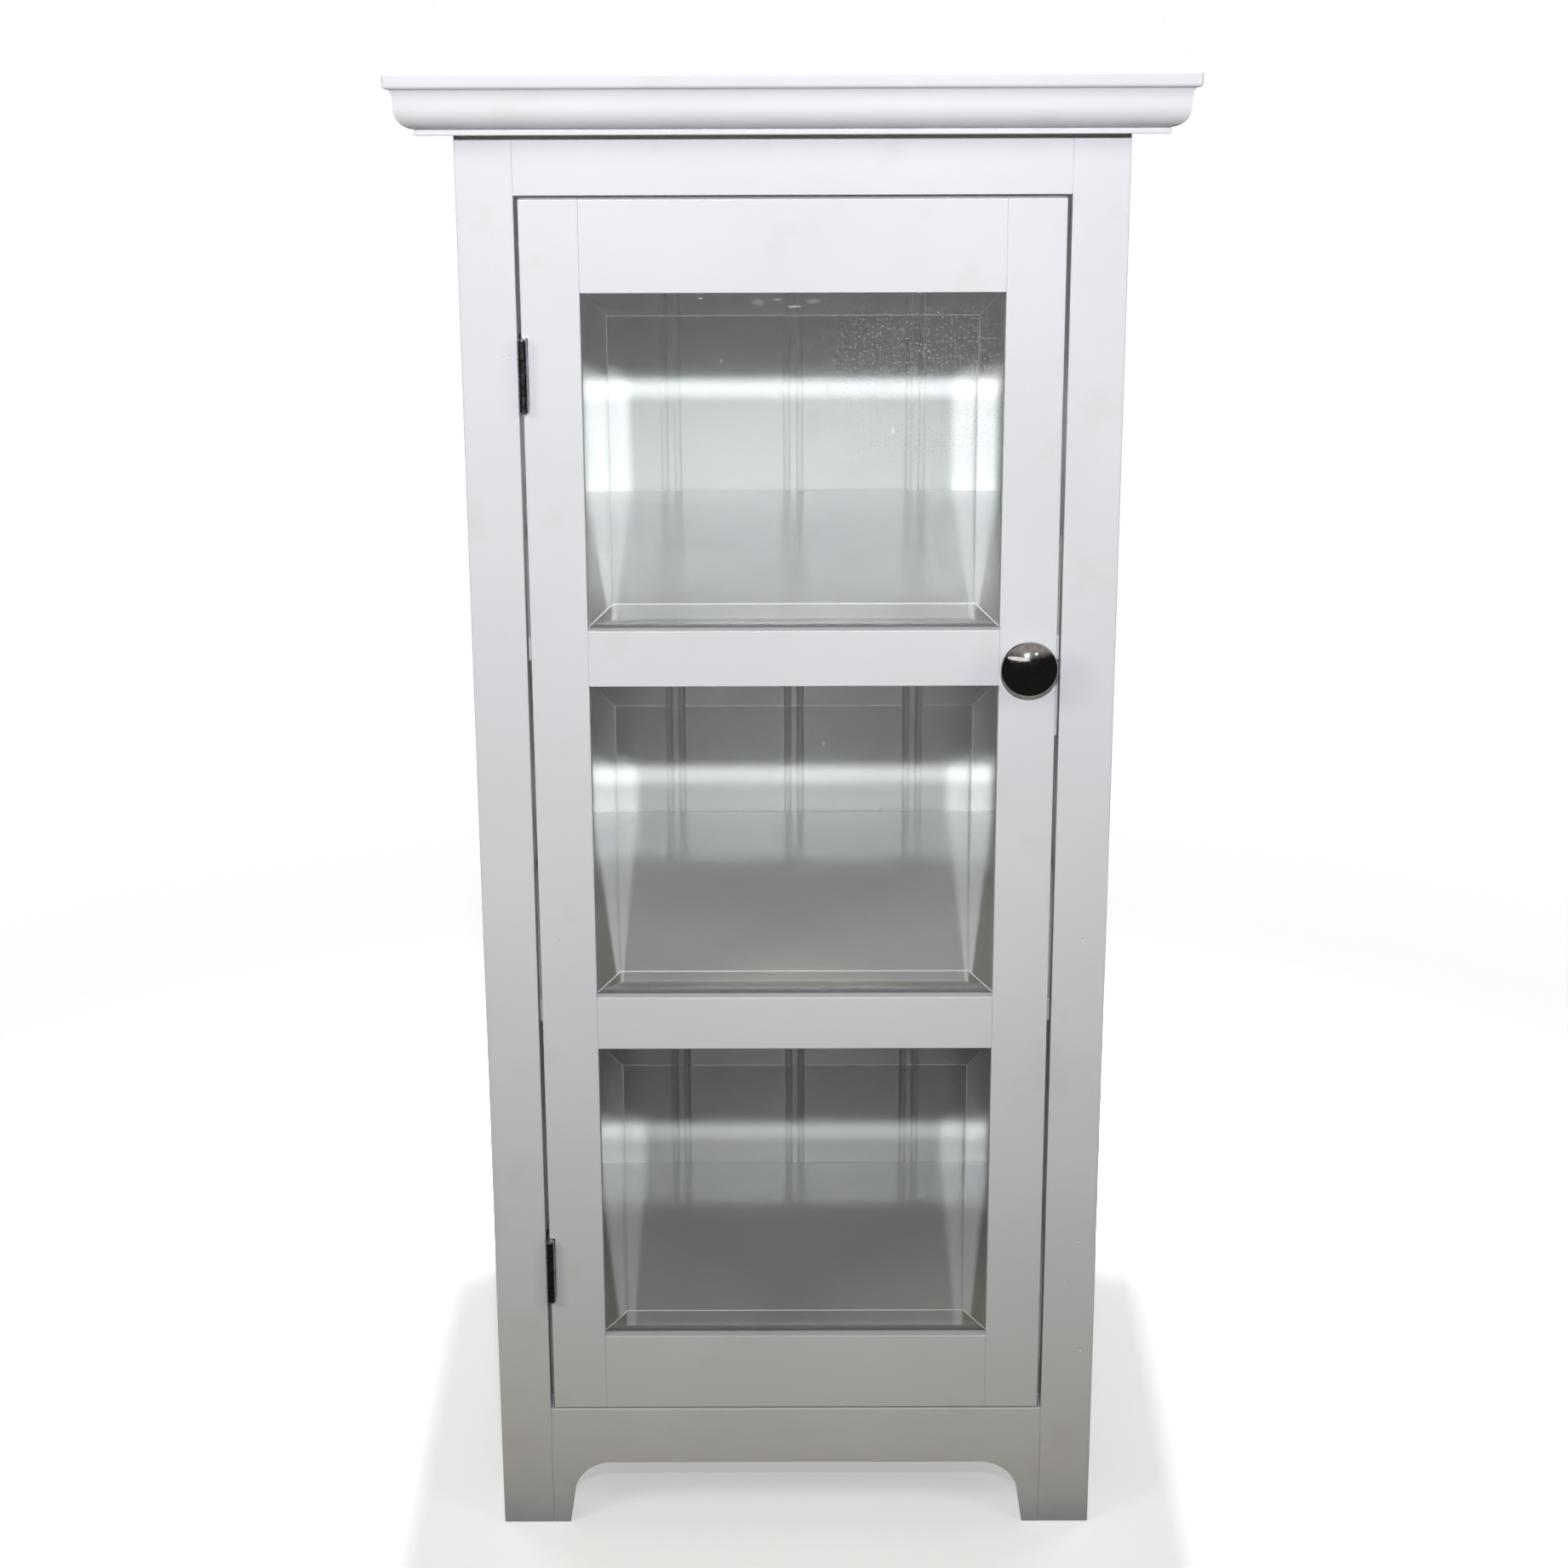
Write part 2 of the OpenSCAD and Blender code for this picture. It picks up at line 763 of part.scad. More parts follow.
module door_left_stile() {
    color(paint)
        difference() {
            slab([-door_x, -lite_x], [face_y, face_y + door_t], [door_z0, door_z1]);
            door_cuts();
            hinge_mortises();
            at_hinge_screws(hinge_x + leaf_in, 90)
                countersunk_hole(hinge_screw_d, hinge_screw_head_d, hinge_screw_l);
        }
}

module door_right_stile() {
    color(paint)
        difference() {
            slab([lite_x, door_x], [face_y, face_y + door_t], [door_z0, door_z1]);
            door_cuts();
            knob_screw_hole();
            at_strike_screw() countersunk_hole(hinge_screw_d, hinge_screw_head_d, hinge_screw_l);
        }
}

module door_rail(z0, z1) {
    color(paint)
        difference() {
            slab([-lite_x, lite_x], [face_y, face_y + door_t], [z0, z1]);
            door_cuts();
        }
}

module door_dowels() {
    color(raw_wood)
        at_dowels(door_dowels_at, lite_x, face_y + door_t / 2) dowel();
}

// Section of a pane: flat at the back, its front edge bevelled down at both ends of its width
module pane_section(w) {
    polygon([[-w / 2, glass_t], [w / 2, glass_t], [w / 2, glass_t - glass_edge_t],
             [w / 2 - bevel_w, 0], [bevel_w - w / 2, 0], [-w / 2, glass_t - glass_edge_t]]);
}

module pane(i) {
    inset = rabbet_w - glass_play;
    w = 2 * (lite_x + inset);
    h = lite_h + 2 * inset;
    color(glass_tint)
        translate([0, face_y + front_lip, lite_z(i) + lite_h / 2])
            intersection() {
                linear_extrude(h, center = true) pane_section(w);
                rotate([90, 0, 90])
                    linear_extrude(w, center = true) rotate(90) mirror([0, 1]) pane_section(h);
            }
}

// Four beads behind a pane: two across the whole width, two between them
module glazing_beads(i) {
    y = [face_y + front_lip + glass_t, face_y + door_t];
    x = lite_x + rabbet_w - bead_gap;
    z0 = lite_z(i) - rabbet_w + bead_gap;
    z1 = lite_z(i) + lite_h + rabbet_w - bead_gap;
    width = rabbet_w - bead_gap;
    color(paint) {
        slab([-x, x], y, [z0, z0 + width]);
        slab([-x, x], y, [z1 - width, z1]);
        slab([-x, width - x], y, [z0 + width + bead_gap, z1 - width - bead_gap]);
        slab([x - width, x], y, [z0 + width + bead_gap, z1 - width - bead_gap]);
    }
}

// Half section of the knob: x is the radius, y the distance out from the door. The dome runs smoothly
// into the rounded rim.
module knob_section() {
    r = knob_d / 2;
    dome_r = (r * r + knob_dome_h * knob_dome_h) / (2 * knob_dome_h);
    rim_x = r - knob_rim_r;
    meet = acos(rim_x / (dome_r - knob_rim_r));
    rim_y = knob_reach - dome_r + (dome_r - knob_rim_r) * sin(meet);
    under_y = rim_y - knob_rim_r;
    meet_y = knob_reach - dome_r * (1 - sin(meet));
    flare_r = rim_x - knob_neck_r;
    square([knob_base_r, knob_base_t]);
    square([knob_neck_r, rim_y]);
    difference() {
        translate([0, under_y - flare_r]) square([rim_x, flare_r + over]);
        translate([rim_x, under_y - flare_r]) circle(flare_r);
    }
    translate([0, under_y]) square([rim_x, knob_rim_r]);
    hull() {
        translate([rim_x, rim_y]) circle(knob_rim_r);
        intersection() {
            translate([0, knob_reach - dome_r]) circle(dome_r);
            translate([0, meet_y]) square([r, knob_dome_h]);
        }
    }
}

module knob() {
    color(dark_nickel)
        translate([knob_x, face_y, knob_z])
            rotate([90, 0, 0])
                difference() {
                    rotate_extrude() knob_section();
                    translate([0, 0, -over])
                        cylinder(h = knob_bore_l + over, d = knob_bore_d + 2 * screw_slack);
                }
}

module knob_screw() {
    color(bright_steel)
        translate([knob_x, face_y + door_t, knob_z])
            rotate([90, 0, 0])
                pan_head_screw(knob_bore_d, knob_screw_head_t, door_t + knob_bore_l - hole_play);
}

face_stile(-1);  // left_face_stile
face_stile(1);  // right_face_stile
top_face_rail();
apron_rail();
face_frame_dowels();
side_panel(-1);  // left_side_panel
side_panel(1);  // right_side_panel
floor_panel();
case_top_panel();
rear_rail();
beadboard_back();
back_panel_screws();
foot_blocks();
shelf(1);  // upper_shelf
shelf(0);  // lower_shelf
shelf_pins();
cornice_base_panel();
cornice_front_moulding();
cornice_side_moulding(-1);  // cornice_left_moulding
cornice_side_moulding(1);  // cornice_right_moulding
cornice_back_batten();
cornice_battens();
cornice_screws();
top_board();
hinge_leaf(hinge_z[0], -1, 1);  // upper_hinge_frame_leaf
hinge_leaf(hinge_z[1], -1, 1);  // lower_hinge_frame_leaf
hinge_pin(hinge_z[0]);  // upper_hinge_pin
hinge_pin(hinge_z[1]);  // lower_hinge_pin
hinge_screws(-1);  // hinge_frame_screws
catch_block();
catch_housing();
catch_magnet();
catch_pole_plates();
catch_screws();
door_left_stile();
door_right_stile();
door_rail(door_z1 - door_top_rail_h, door_z1);  // door_top_rail
door_rail(lite_z(1) + lite_h, lite_z(2));  // door_upper_mid_rail
door_rail(lite_z(0) + lite_h, lite_z(1));  // door_lower_mid_rail
door_rail(door_z0, lite_z(0));  // door_bottom_rail
door_dowels();
pane(2);  // upper_glass
pane(1);  // middle_glass
pane(0);  // lower_glass
glazing_beads(2);  // upper_glazing_beads
glazing_beads(1);  // middle_glazing_beads
glazing_beads(0);  // lower_glazing_beads
knob();
knob_screw();
strike_plate();
strike_screw();
hinge_leaf(hinge_z[0], 1, 0);  // upper_hinge_door_leaf
hinge_leaf(hinge_z[1], 1, 0);  // lower_hinge_door_leaf
hinge_screws(1);  // hinge_door_screws
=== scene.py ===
"""Looks for the glazed apothecary cabinet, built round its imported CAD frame.

Painted boards are rebuilt with rounded edges on the CAD's own sizes, fittings keep their CAD shape, and every
material is made of nodes. Lengths are in metres. X runs to the right, the front faces -Y and Z is up.
"""
import math

import bmesh
import bpy
from mathutils import Matrix, Vector


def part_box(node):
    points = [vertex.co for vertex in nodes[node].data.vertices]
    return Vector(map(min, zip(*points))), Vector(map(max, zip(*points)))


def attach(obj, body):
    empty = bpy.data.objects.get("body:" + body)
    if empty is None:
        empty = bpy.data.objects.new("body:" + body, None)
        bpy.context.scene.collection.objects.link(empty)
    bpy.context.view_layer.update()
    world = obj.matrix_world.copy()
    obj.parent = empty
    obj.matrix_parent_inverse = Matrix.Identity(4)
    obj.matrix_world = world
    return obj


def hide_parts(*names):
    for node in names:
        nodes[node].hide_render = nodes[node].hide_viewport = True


MM = 0.001

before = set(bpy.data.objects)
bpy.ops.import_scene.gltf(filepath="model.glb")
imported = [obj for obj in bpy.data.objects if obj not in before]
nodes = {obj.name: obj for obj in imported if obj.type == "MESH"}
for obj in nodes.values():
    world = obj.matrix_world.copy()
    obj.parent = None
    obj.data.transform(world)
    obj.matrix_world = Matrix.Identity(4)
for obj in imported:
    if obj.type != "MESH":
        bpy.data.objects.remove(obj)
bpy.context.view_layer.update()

# Sizes that the boxes of the CAD nodes don't give
ARRIS = 0.8 * MM            # rounding of a board's free edges
BUTT_ARRIS = 0.3 * MM       # rounding of an edge that meets another board
BEAD_ARRIS = 0.6 * MM       # rounding of a glazing bead
APRON_FOOT = 13 * MM        # width of the apron's foot at the floor
ARCH_HEIGHT = 54 * MM
ARCH_RADIUS = 30 * MM
ARCH_SPLAY = 3.5 * MM
SIDE_FRONT_FOOT = 33 * MM
SIDE_REAR_FOOT = 53 * MM
BACK_RABBET = 8 * MM
GROOVE_PAIRS = 5
GROOVE_PITCH = 101 * MM     # from one pair of grooves to the next
GROOVE_WIDTH = 6 * MM
GROOVE_DEPTH = 1.5 * MM
BEAD_WIDTH = 4.7 * MM       # width of the bead between the two grooves of a pair
RABBET = 8 * MM
FRONT_LIP = 9 * MM          # thickness of the door's frame in front of the panes
MOULDING_FACE = 36 * MM
MOULDING_RADIUS = 16 * MM
MOULDING_BACK = 12 * MM
COVE_RADIUS = 20 * MM
COVE_HEIGHT = 9 * MM
BOARD_TOP_RADIUS = 1.5 * MM
BOARD_BOTTOM_RADIUS = 3 * MM
HINGE_LEAF_DEPTH = 17.2 * MM
CUT_PAST = 1 * MM           # how far a cutter runs past the face that it cuts

# Angles between faces: nearly flat, rounded above, and shaded smooth below
FLAT_ANGLE = math.radians(0.5)
ROUNDED_ANGLE = math.radians(35)
SMOOTH_ANGLE = math.radians(40)
SAME_PLACE = 0.01 * MM      # corners closer than this to an end plane lie in it
WELD = 0.001 * MM           # corners closer than this are one

# The panes: their bevels, what those do to the lamp's light, and the marks on the glass
GLASS_TINT = (0.99, 0.993, 0.988)
HAZE_TINT = (0.98, 1.0, 0.98)
BEVEL_SEEN = 17.5 * MM      # width of a pane's bevel inside the frame
BEVEL_SHARE = 0.42          # share of the lamp's light that a bevel passes on
BEVEL_SPILL = 2.5 * MM      # how much wider the bent light is than the bevel
BEVEL_BLUR = 0.4 * MM
RIDGE = 0.6 * MM            # half the width of the painted highlight along a bevel's edge
UPRIGHT_HIGHLIGHT = 0.12        # how bright that painted highlight is where it stands upright
# How far a bevel moves the lamp's light, for each metre behind the pane
BEVEL_SHIFT = {"X": 0.038, "Z": 0.029}
# The dust on the upper pane: its middle (x, z), where it is even and where it ends, and how white it is
DUST_AT = (92 * MM, 918 * MM)
DUST_EVEN = 10 * MM
DUST_END = (85 * MM, 75 * MM)
DUST_WHITE = 0.8
# Marks on the panes: x, z, half width and half height in millimetres, and share of white
UPPER_MARKS = [(-64, 977, 2.4, 0.9, 0.48), (-11, 976, 6, 2, 0.16), (1, 971, 7, 1.2, 0.352),
               (14, 975, 9, 3, 0.128), (-24, 974, 8, 4, 0.112), (-50, 933, 1.2, 2.2, 0.32),
               (70, 883, 1.4, 3.4, 0.88)]
MIDDLE_MARKS = [(21.7, 650, 0.9, 2.2, 0.56), (63, 598, 1.4, 0.6, 0.32)]

# Dents in the front: x, z, width and height in millimetres
LEFT_STILE_DENTS = [(-197.4, 938.6, 2.6, 1.8), (-200.2, 937.6, 2.2, 2.0)]
RIGHT_STILE_DENTS = [(212.9, 498.5, 3.4, 3.0), (195.7, 379.9, 2.2, 2.0), (215.2, 248.4, 3.2, 3.0),
                     (220.4, 154.3, 3.2, 3.4), (206.0, 458.0, 1.4, 1.2), (213.0, 311.0, 1.4, 1.4),
                     (206.5, 214.0, 1.6, 1.4)]
DOOR_STILE_DENTS = [(172.0, 283.0, 1.4, 1.2), (166.0, 121.0, 1.6, 1.2)]
DOOR_TOP_CHIP = [(87.1, 982.6, 6.0, 4.0)]
TOP_BOARD_DENT = [(165.4, 1138.6, 3.0, 2.0)]
DENT_DEPTH = 0.55 * MM
DENT_PROUD = 0.15 * MM      # how far in front of the face a dent's cutter is centred

# Colours
WHITE = (0.80, 0.81, 0.835)
# Painted light: the paint inside is brighter and greener than WHITE, standing in for the light inside the
# cabinet
LIT_INNER_WHITE = (0.912, 0.93, 0.903)
AGED = (0.66, 0.62, 0.53)
DIRT = (0.30, 0.25, 0.19)
PRIMER = (0.36, 0.31, 0.27)
SOFTWOOD = (0.52, 0.36, 0.20)


# ---- node materials ----

class Nodes:
    """Short calls for making and linking the nodes of one tree."""

    def __init__(self, tree):
        self.tree = tree

    def feed(self, socket, value):
        """Links value to the socket, or sets it there if it is a plain number or colour."""
        if isinstance(value, bpy.types.NodeSocket):
            self.tree.links.new(value, socket)
        elif hasattr(socket.default_value, "__len__") and len(socket.default_value) == 4:
            socket.default_value = (*value[:3], 1)
        else:
            socket.default_value = value

    def node(self, kind, values=(), **settings):
        """A shader node with its settings, and its inputs fed with values."""
        made = self.tree.nodes.new("ShaderNode" + kind)
        for name, value in settings.items():
            setattr(made, name, value)
        for name, value in dict(values).items():
            self.feed(made.inputs[name], value)
        return made

    def math(self, operation, a, b=0.0):
        return self.node("Math", {0: a, 1: b}, operation=operation).outputs[0]

    def product(self, a, b):
        return self.math("MULTIPLY", a, b)

    def largest(self, values):
        """The largest of several values."""
        best = values[0]
        for value in values[1:]:
            best = self.math("MAXIMUM", best, value)
        return best

    def ramp(self, value, low, high, first=0.0, last=1.0):
        """Goes smoothly from first to last as value goes from low to high."""
        values = {"Value": value, "From Min": low, "From Max": high, "To Min": first, "To Max": last}
        return self.node("MapRange", values, interpolation_type="SMOOTHSTEP").outputs["Result"]

    def mix(self, share, a, b):
        """The colour that goes from a to b as share goes from 0 to 1."""
        made = self.node("Mix", {0: share}, data_type="RGBA")
        self.feed(made.inputs[6], a)
        self.feed(made.inputs[7], b)
        return made.outputs[2]

    def blend(self, share, a, b):
        """Shader node a, going over to shader node b."""
        return self.node("MixShader", {0: share, 1: a.outputs[0], 2: b.outputs[0]})


class Shader(Nodes):
    """A material on a Principled shader, and the patterns that feed it. A pattern is laid out in the model's
    own metres, and its scale is how many of its cells there are in a metre."""

    def __init__(self, name, **inputs):
        self.material = bpy.data.materials.new(name)
        self.material.use_nodes = True
        super().__init__(self.material.node_tree)
        self.bsdf = self.tree.nodes["Principled BSDF"]
        self.output = self.tree.nodes["Material Output"]
        self.coords = self.tree.nodes.new("ShaderNodeTexCoord").outputs["Object"]
        self.set(**inputs)

    def set(self, **inputs):
        """Feeds the Principled shader's inputs, named with _ for each space."""
        for socket, value in inputs.items():
            self.feed(self.bsdf.inputs[socket.replace("_", " ")], value)

    def surface(self, shader):
        """Makes a shader node the material's surface."""
        self.feed(self.output.inputs["Surface"], shader.outputs[0])

    def axis(self, name):
        """One coordinate of the point, in metres: X, Y or Z."""
        return self.node("SeparateXYZ", {"Vector": self.coords}).outputs[name]

    def near(self, axis, middle, inside, outside):
        """1 within inside of the middle along an axis, and 0 beyond outside."""
        away = self.math("ABSOLUTE", self.math("SUBTRACT", self.axis(axis), middle))
        return self.ramp(away, inside, outside, 1, 0)

    def stretched(self, stretch):
        return self.node("Mapping", {"Vector": self.coords, "Scale": stretch}).outputs[0]

    def noise(self, scale, detail=2.0, stretch=(1, 1, 1), roughness=0.5):
        values = {"Vector": self.stretched(stretch), "Scale": scale, "Detail": detail, "Roughness": roughness}
        return self.node("TexNoise", values).outputs["Fac"]

    def dots(self, scale, radius, share, upright=False):
        """Small round spots in that share of the cells: 1 on a spot and 0 beside it. radius is a share of a
        cell. upright keeps them round on a pane, where only X and Z count."""
        cells = self.node("TexVoronoi", {"Scale": scale}, voronoi_dimensions="2D" if upright else "3D")
        where = self.coords
        if upright:
            where = self.node("CombineXYZ", {0: self.axis("X"), 1: self.axis("Z")}).outputs[0]
        self.feed(cells.inputs["Vector"], where)
        number = self.node("SeparateColor", {0: cells.outputs["Color"]}).outputs[0]
        spot = self.ramp(cells.outputs["Distance"], radius * 0.5, radius, 1, 0)
        return self.product(self.math("LESS_THAN", number, share), spot)

    def bump(self, layers):
        """Joins (height, distance) layers into one normal."""
        normal = None
        for height, distance in layers:
            values = {"Height": height, "Distance": distance, "Strength": 1.0}
            if normal is not None:
                values["Normal"] = normal
            normal = self.node("Bump", values).outputs[0]
        self.set(Normal=normal)


def scaled(colour, share):
    return tuple(c * share for c in colour)


def paint(name, grain, worn=0.0, sheen=0.36, specular=0.42, relief=1.0, white=WHITE, low_shade=0.0):
    """Satin paint laid on with a brush along the grain, over wood. worn is how far it has rubbed off, sheen
    its roughness, relief how deep its brush marks are, and low_shade how far painted shade darkens it low
    down."""
    s = Shader(name, Specular_IOR_Level=specular)
    along = tuple(0.04 if axis == grain else 1.0 for axis in "xyz")
    clouds = s.noise(7, 3)
    yellowed = s.ramp(s.noise(23, 4), 0.56, 0.8)
    tone = s.mix(s.ramp(clouds, 0.35, 0.7), scaled(white, 0.965), white)
    # Painted shade: the paint turns darker towards the bottom, where less light falls.
    if low_shade:
        tone = s.mix(s.ramp(s.axis("Z"), 0.25, 0.85, low_shade, 0), tone, (0, 0, 0))
    tone = s.mix(s.product(yellowed, 0.22), tone, AGED)
    specks = s.dots(34, 0.026, 0.16)
    tone = s.mix(s.product(specks, 0.5), tone, DIRT)
    splashed = s.product(s.ramp(s.axis("Z"), 0.0, 0.13, 1, 0), s.ramp(s.noise(38, 5), 0.3, 0.75))
    tone = s.mix(s.product(splashed, 0.07), tone, DIRT)
    if worn:
        rubbed = s.ramp(s.noise(70, 5, roughness=0.7), 0.64 - 0.1 * worn, 0.74)
        tone = s.mix(s.product(rubbed, worn), tone, PRIMER)
    s.set(Base_Color=tone, Roughness=s.ramp(s.noise(55, 4), 0.2, 0.8, 0.95 * sheen, 1.12 * sheen))
    wood = s.noise(130, 4, along, 0.6)
    streaks = s.noise(620, 3, along)
    stipple = s.noise(900, 2)
    deep = relief * MM
    s.bump([(wood, 0.05 * deep), (streaks, 0.035 * deep), (stipple, 0.05 * deep), (specks, 0.15 * deep)])
    return s.material


def bare_wood(name, grain):
    """Planed softwood with its rings cut lengthways."""
    s = Shader(name, Specular_IOR_Level=0.3)
    along = tuple(0.06 if axis == grain else 1.0 for axis in "xyz")
    wave = s.node("TexWave", {"Vector": s.stretched(along), "Scale": 34.0, "Distortion": 5.0, "Detail": 3.0},
                  wave_type="RINGS", rings_direction=grain.upper())
    fibre = s.noise(700, 3, along)
    share = s.math("ADD", s.product(wave.outputs["Fac"], 0.6), s.product(fibre, 0.4))
    tone = s.mix(share, scaled(SOFTWOOD, 0.62), scaled(SOFTWOOD, 1.25))
    s.set(Base_Color=tone, Roughness=s.ramp(fibre, 0.2, 0.8, 0.6, 0.78))
    s.bump([(fibre, 0.15 * MM), (wave.outputs["Fac"], 0.1 * MM)])
    return s.material


def chipped():
    """The bare spot inside a chip or a dent."""
    s = Shader("chipped", Specular_IOR_Level=0.2)
    s.set(Base_Color=s.mix(s.noise(600, 3), scaled(PRIMER, 0.45), scaled(PRIMER, 1.1)),
          Roughness=s.ramp(s.noise(900, 2), 0.3, 0.7, 0.6, 0.85))
    s.bump([(s.noise(1500, 3), 0.2 * MM)])
    return s.material


def metal(name, tone, rough, spread, stain=None, stain_share=0.0, scratch=0.02 * MM, rings=0.0):
    """Metal with fine scratches, its roughness within spread of rough, and a second tone where the surface
    has changed. rings is the depth of tool marks left across the vertical."""
    s = Shader(name, Metallic=1.0)
    mottle = s.noise(420, 4, roughness=0.65)
    colour = s.mix(s.ramp(mottle, 0.3, 0.7), scaled(tone, 0.8), scaled(tone, 1.15))
    if stain:
        changed = s.noise(190, 5, roughness=0.7)
        colour = s.mix(s.ramp(changed, 0.62 - stain_share, 0.70 - stain_share), colour, stain)
    s.set(Base_Color=colour, Roughness=s.ramp(s.noise(300, 3), 0.3, 0.7, rough - spread, rough + spread))
    layers = [(s.noise(260, 3, (1, 1, 0.08)), scratch), (mottle, scratch)]
    if rings:
        layers.append((s.noise(1300, 3, (0.05, 0.05, 1)), rings))
    s.bump(layers)
    return s.material


def plain_solid(name, tone, rough, fine, depth):
    """Moulded plastic or sintered ferrite: an even tone with a fine texture."""
    s = Shader(name, Specular_IOR_Level=0.4)
    grain = s.noise(fine, 3)
    s.set(Base_Color=s.mix(grain, scaled(tone, 0.8), scaled(tone, 1.2)),
          Roughness=s.ramp(grain, 0.3, 0.7, rough - 0.06, rough + 0.06))
    s.bump([(grain, depth)])
    return s.material


def glass(name, marks=(), dusty=False):
    """Clear glass, faintly green, with white haze on its outside for marks and dust, and for the painted
    highlights along the bevels. Lamps shine through it as through a bevelled pane: the bevels bend their
    light inwards, so it leaves a dark rim and adds to the light beside it."""
    s = Shader(name, Transmission_Weight=1.0, IOR=1.5, Roughness=0.0, Base_Color=GLASS_TINT)
    path = s.node("LightPath").outputs
    lo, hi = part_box("lower_glass")
    half_w = (hi.x - lo.x) / 2 - RABBET + CUT_PAST
    half_h = (hi.z - lo.z) / 2 - RABBET + CUT_PAST
    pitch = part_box("middle_glass")[0].z - lo.z

    # How far the point is out from the flat middle of its own pane, below 0 on the flat. The three panes are
    # alike and a pitch apart. The 4 pitches keep what is divided above 0.
    level = s.math("SUBTRACT", s.axis("Z"), (lo.z + hi.z) / 2)
    level = s.math("MODULO", s.math("ADD", level, 4.5 * pitch), pitch)
    level = s.math("SUBTRACT", level, pitch / 2)
    out_x = s.math("SUBTRACT", s.math("ABSOLUTE", s.axis("X")), half_w - BEVEL_SEEN)
    out_z = s.math("SUBTRACT", s.math("ABSOLUTE", level), half_h - BEVEL_SEEN)

    def within(value, low, high):
        above = s.ramp(value, low - BEVEL_BLUR, low + BEVEL_BLUR)
        return s.product(above, s.ramp(value, high - BEVEL_BLUR, high + BEVEL_BLUR, 1, 0))

    def bent(outward, across, axis):
        """Light that a bevel sends here: the bevel lies further out by its shift."""
        from_there = s.math("ADD", outward, s.product(path["Ray Length"], BEVEL_SHIFT[axis]))
        mitre = s.math("GREATER_THAN", from_there, across)
        return s.product(within(from_there, 0.0, BEVEL_SEEN + BEVEL_SPILL), mitre)

    def line(value):
        return s.ramp(s.math("ABSOLUTE", value), RIDGE * 0.3, RIDGE, 1, 0)

    def lamp_light():
        """What the pane passes of a lamp's light, which is more than all of it where a bevel adds some."""
        straight = s.product(within(out_x, -1, 0), within(out_z, -1, 0))
        bevelled = s.math("ADD", bent(out_x, out_z, "X"), bent(out_z, out_x, "Z"))
        light = s.math("ADD", straight, s.product(bevelled, BEVEL_SHARE))
        passed = s.mix(light, (0, 0, 0), GLASS_TINT)
        passed.node.clamp_factor = False
        return passed

    def painted_bevel_highlights():
        """Painted highlights along the bevels' inner edges and mitres, clearest at the bottom of a pane."""
        level_line = s.product(line(out_z), s.ramp(out_x, 0, RIDGE, 1, 0))
        corner = s.product(line(s.math("SUBTRACT", out_x, out_z)), s.ramp(out_x, 0, RIDGE))
        upright = s.product(line(out_x), s.ramp(out_z, 0, RIDGE, 1, 0))
        lowest = s.ramp(level, BEVEL_SEEN - half_h, 1.6 * BEVEL_SEEN - half_h, 1, 0.1)
        ridge_highlight = s.product(s.largest([level_line, corner]), lowest)
        return [ridge_highlight, s.product(upright, UPRIGHT_HIGHLIGHT)]

    white = painted_bevel_highlights()
    if dusty:
        across = s.near("X", DUST_AT[0], DUST_EVEN, DUST_END[0])
        around = s.product(across, s.near("Z", DUST_AT[1], DUST_EVEN, DUST_END[1]))
        white.append(s.product(s.dots(330, 0.17, 0.5, upright=True), s.product(around, DUST_WHITE)))
    for x, z, half_x, half_z, strength in marks:
        spot = s.product(s.near("X", x * MM, 0, half_x * MM), s.near("Z", z * MM, 0, half_z * MM))
        white.append(s.product(spot, strength))
    outside = s.math("LESS_THAN", s.axis("Y"), (lo.y + hi.y) / 2)
    # The haze shows the marks and the dust, and also the painted highlights along the bevels.
    haze = s.node("BsdfDiffuse", {"Color": HAZE_TINT})
    seen = s.blend(s.product(s.largest(white), outside), s.bsdf, haze)
    # A bounced ray goes straight through. One that the glass itself has bent also counts as glossy.
    mirrored = s.math("SUBTRACT", path["Is Glossy Ray"], path["Is Transmission Ray"])
    bounced = s.math("MAXIMUM", path["Is Diffuse Ray"], mirrored)
    seen = s.blend(bounced, seen, s.node("BsdfTransparent", {0: GLASS_TINT}))
    s.surface(s.blend(path["Is Shadow Ray"], seen, s.node("BsdfTransparent", {0: lamp_light()})))
    return s.material


paints = {axis: paint("paint_" + axis, axis) for axis in "xyz"}
worn_paints = {axis: paint("worn_paint_" + axis, axis, worn=0.5) for axis in "xyz"}
# The paint inside, with painted light in its brighter, greener white and painted shade darkening it low down
inner_paints_lit_shaded = {axis: paint("inner_paint_lit_shaded_" + axis, axis, sheen=0.2, specular=0.9, relief=0.07,
                            white=LIT_INNER_WHITE, low_shade=0.24) for axis in "xyz"}
chip_material = chipped()
raw = {axis: bare_wood("raw_wood_" + axis, axis) for axis in "xyz"}
aged_steel = metal("aged_steel", (0.36, 0.335, 0.355), 0.24, 0.06, stain=(0.30, 0.27, 0.17),
                   stain_share=0.02, rings=0.09 * MM)
pin_steel = metal("pin_steel", (0.60, 0.59, 0.59), 0.33, 0.08)
bright_steel = metal("bright_steel", (0.58, 0.58, 0.59), 0.3, 0.08)
dark_nickel = metal("dark_nickel", (0.45, 0.42, 0.405), 0.1, 0.03, scratch=0.004 * MM)
catch_plastic = plain_solid("catch_plastic", (0.15, 0.075, 0.035), 0.5, 1500, 0.03 * MM)
ferrite = plain_solid("ferrite", (0.03, 0.03, 0.033), 0.7, 2500, 0.05 * MM)
panes = {"upper_glass": glass("upper_glass_clear", UPPER_MARKS, dusty=True),
         "middle_glass": glass("middle_glass_clear", MIDDLE_MARKS),
         "lower_glass": glass("lower_glass_clear")}


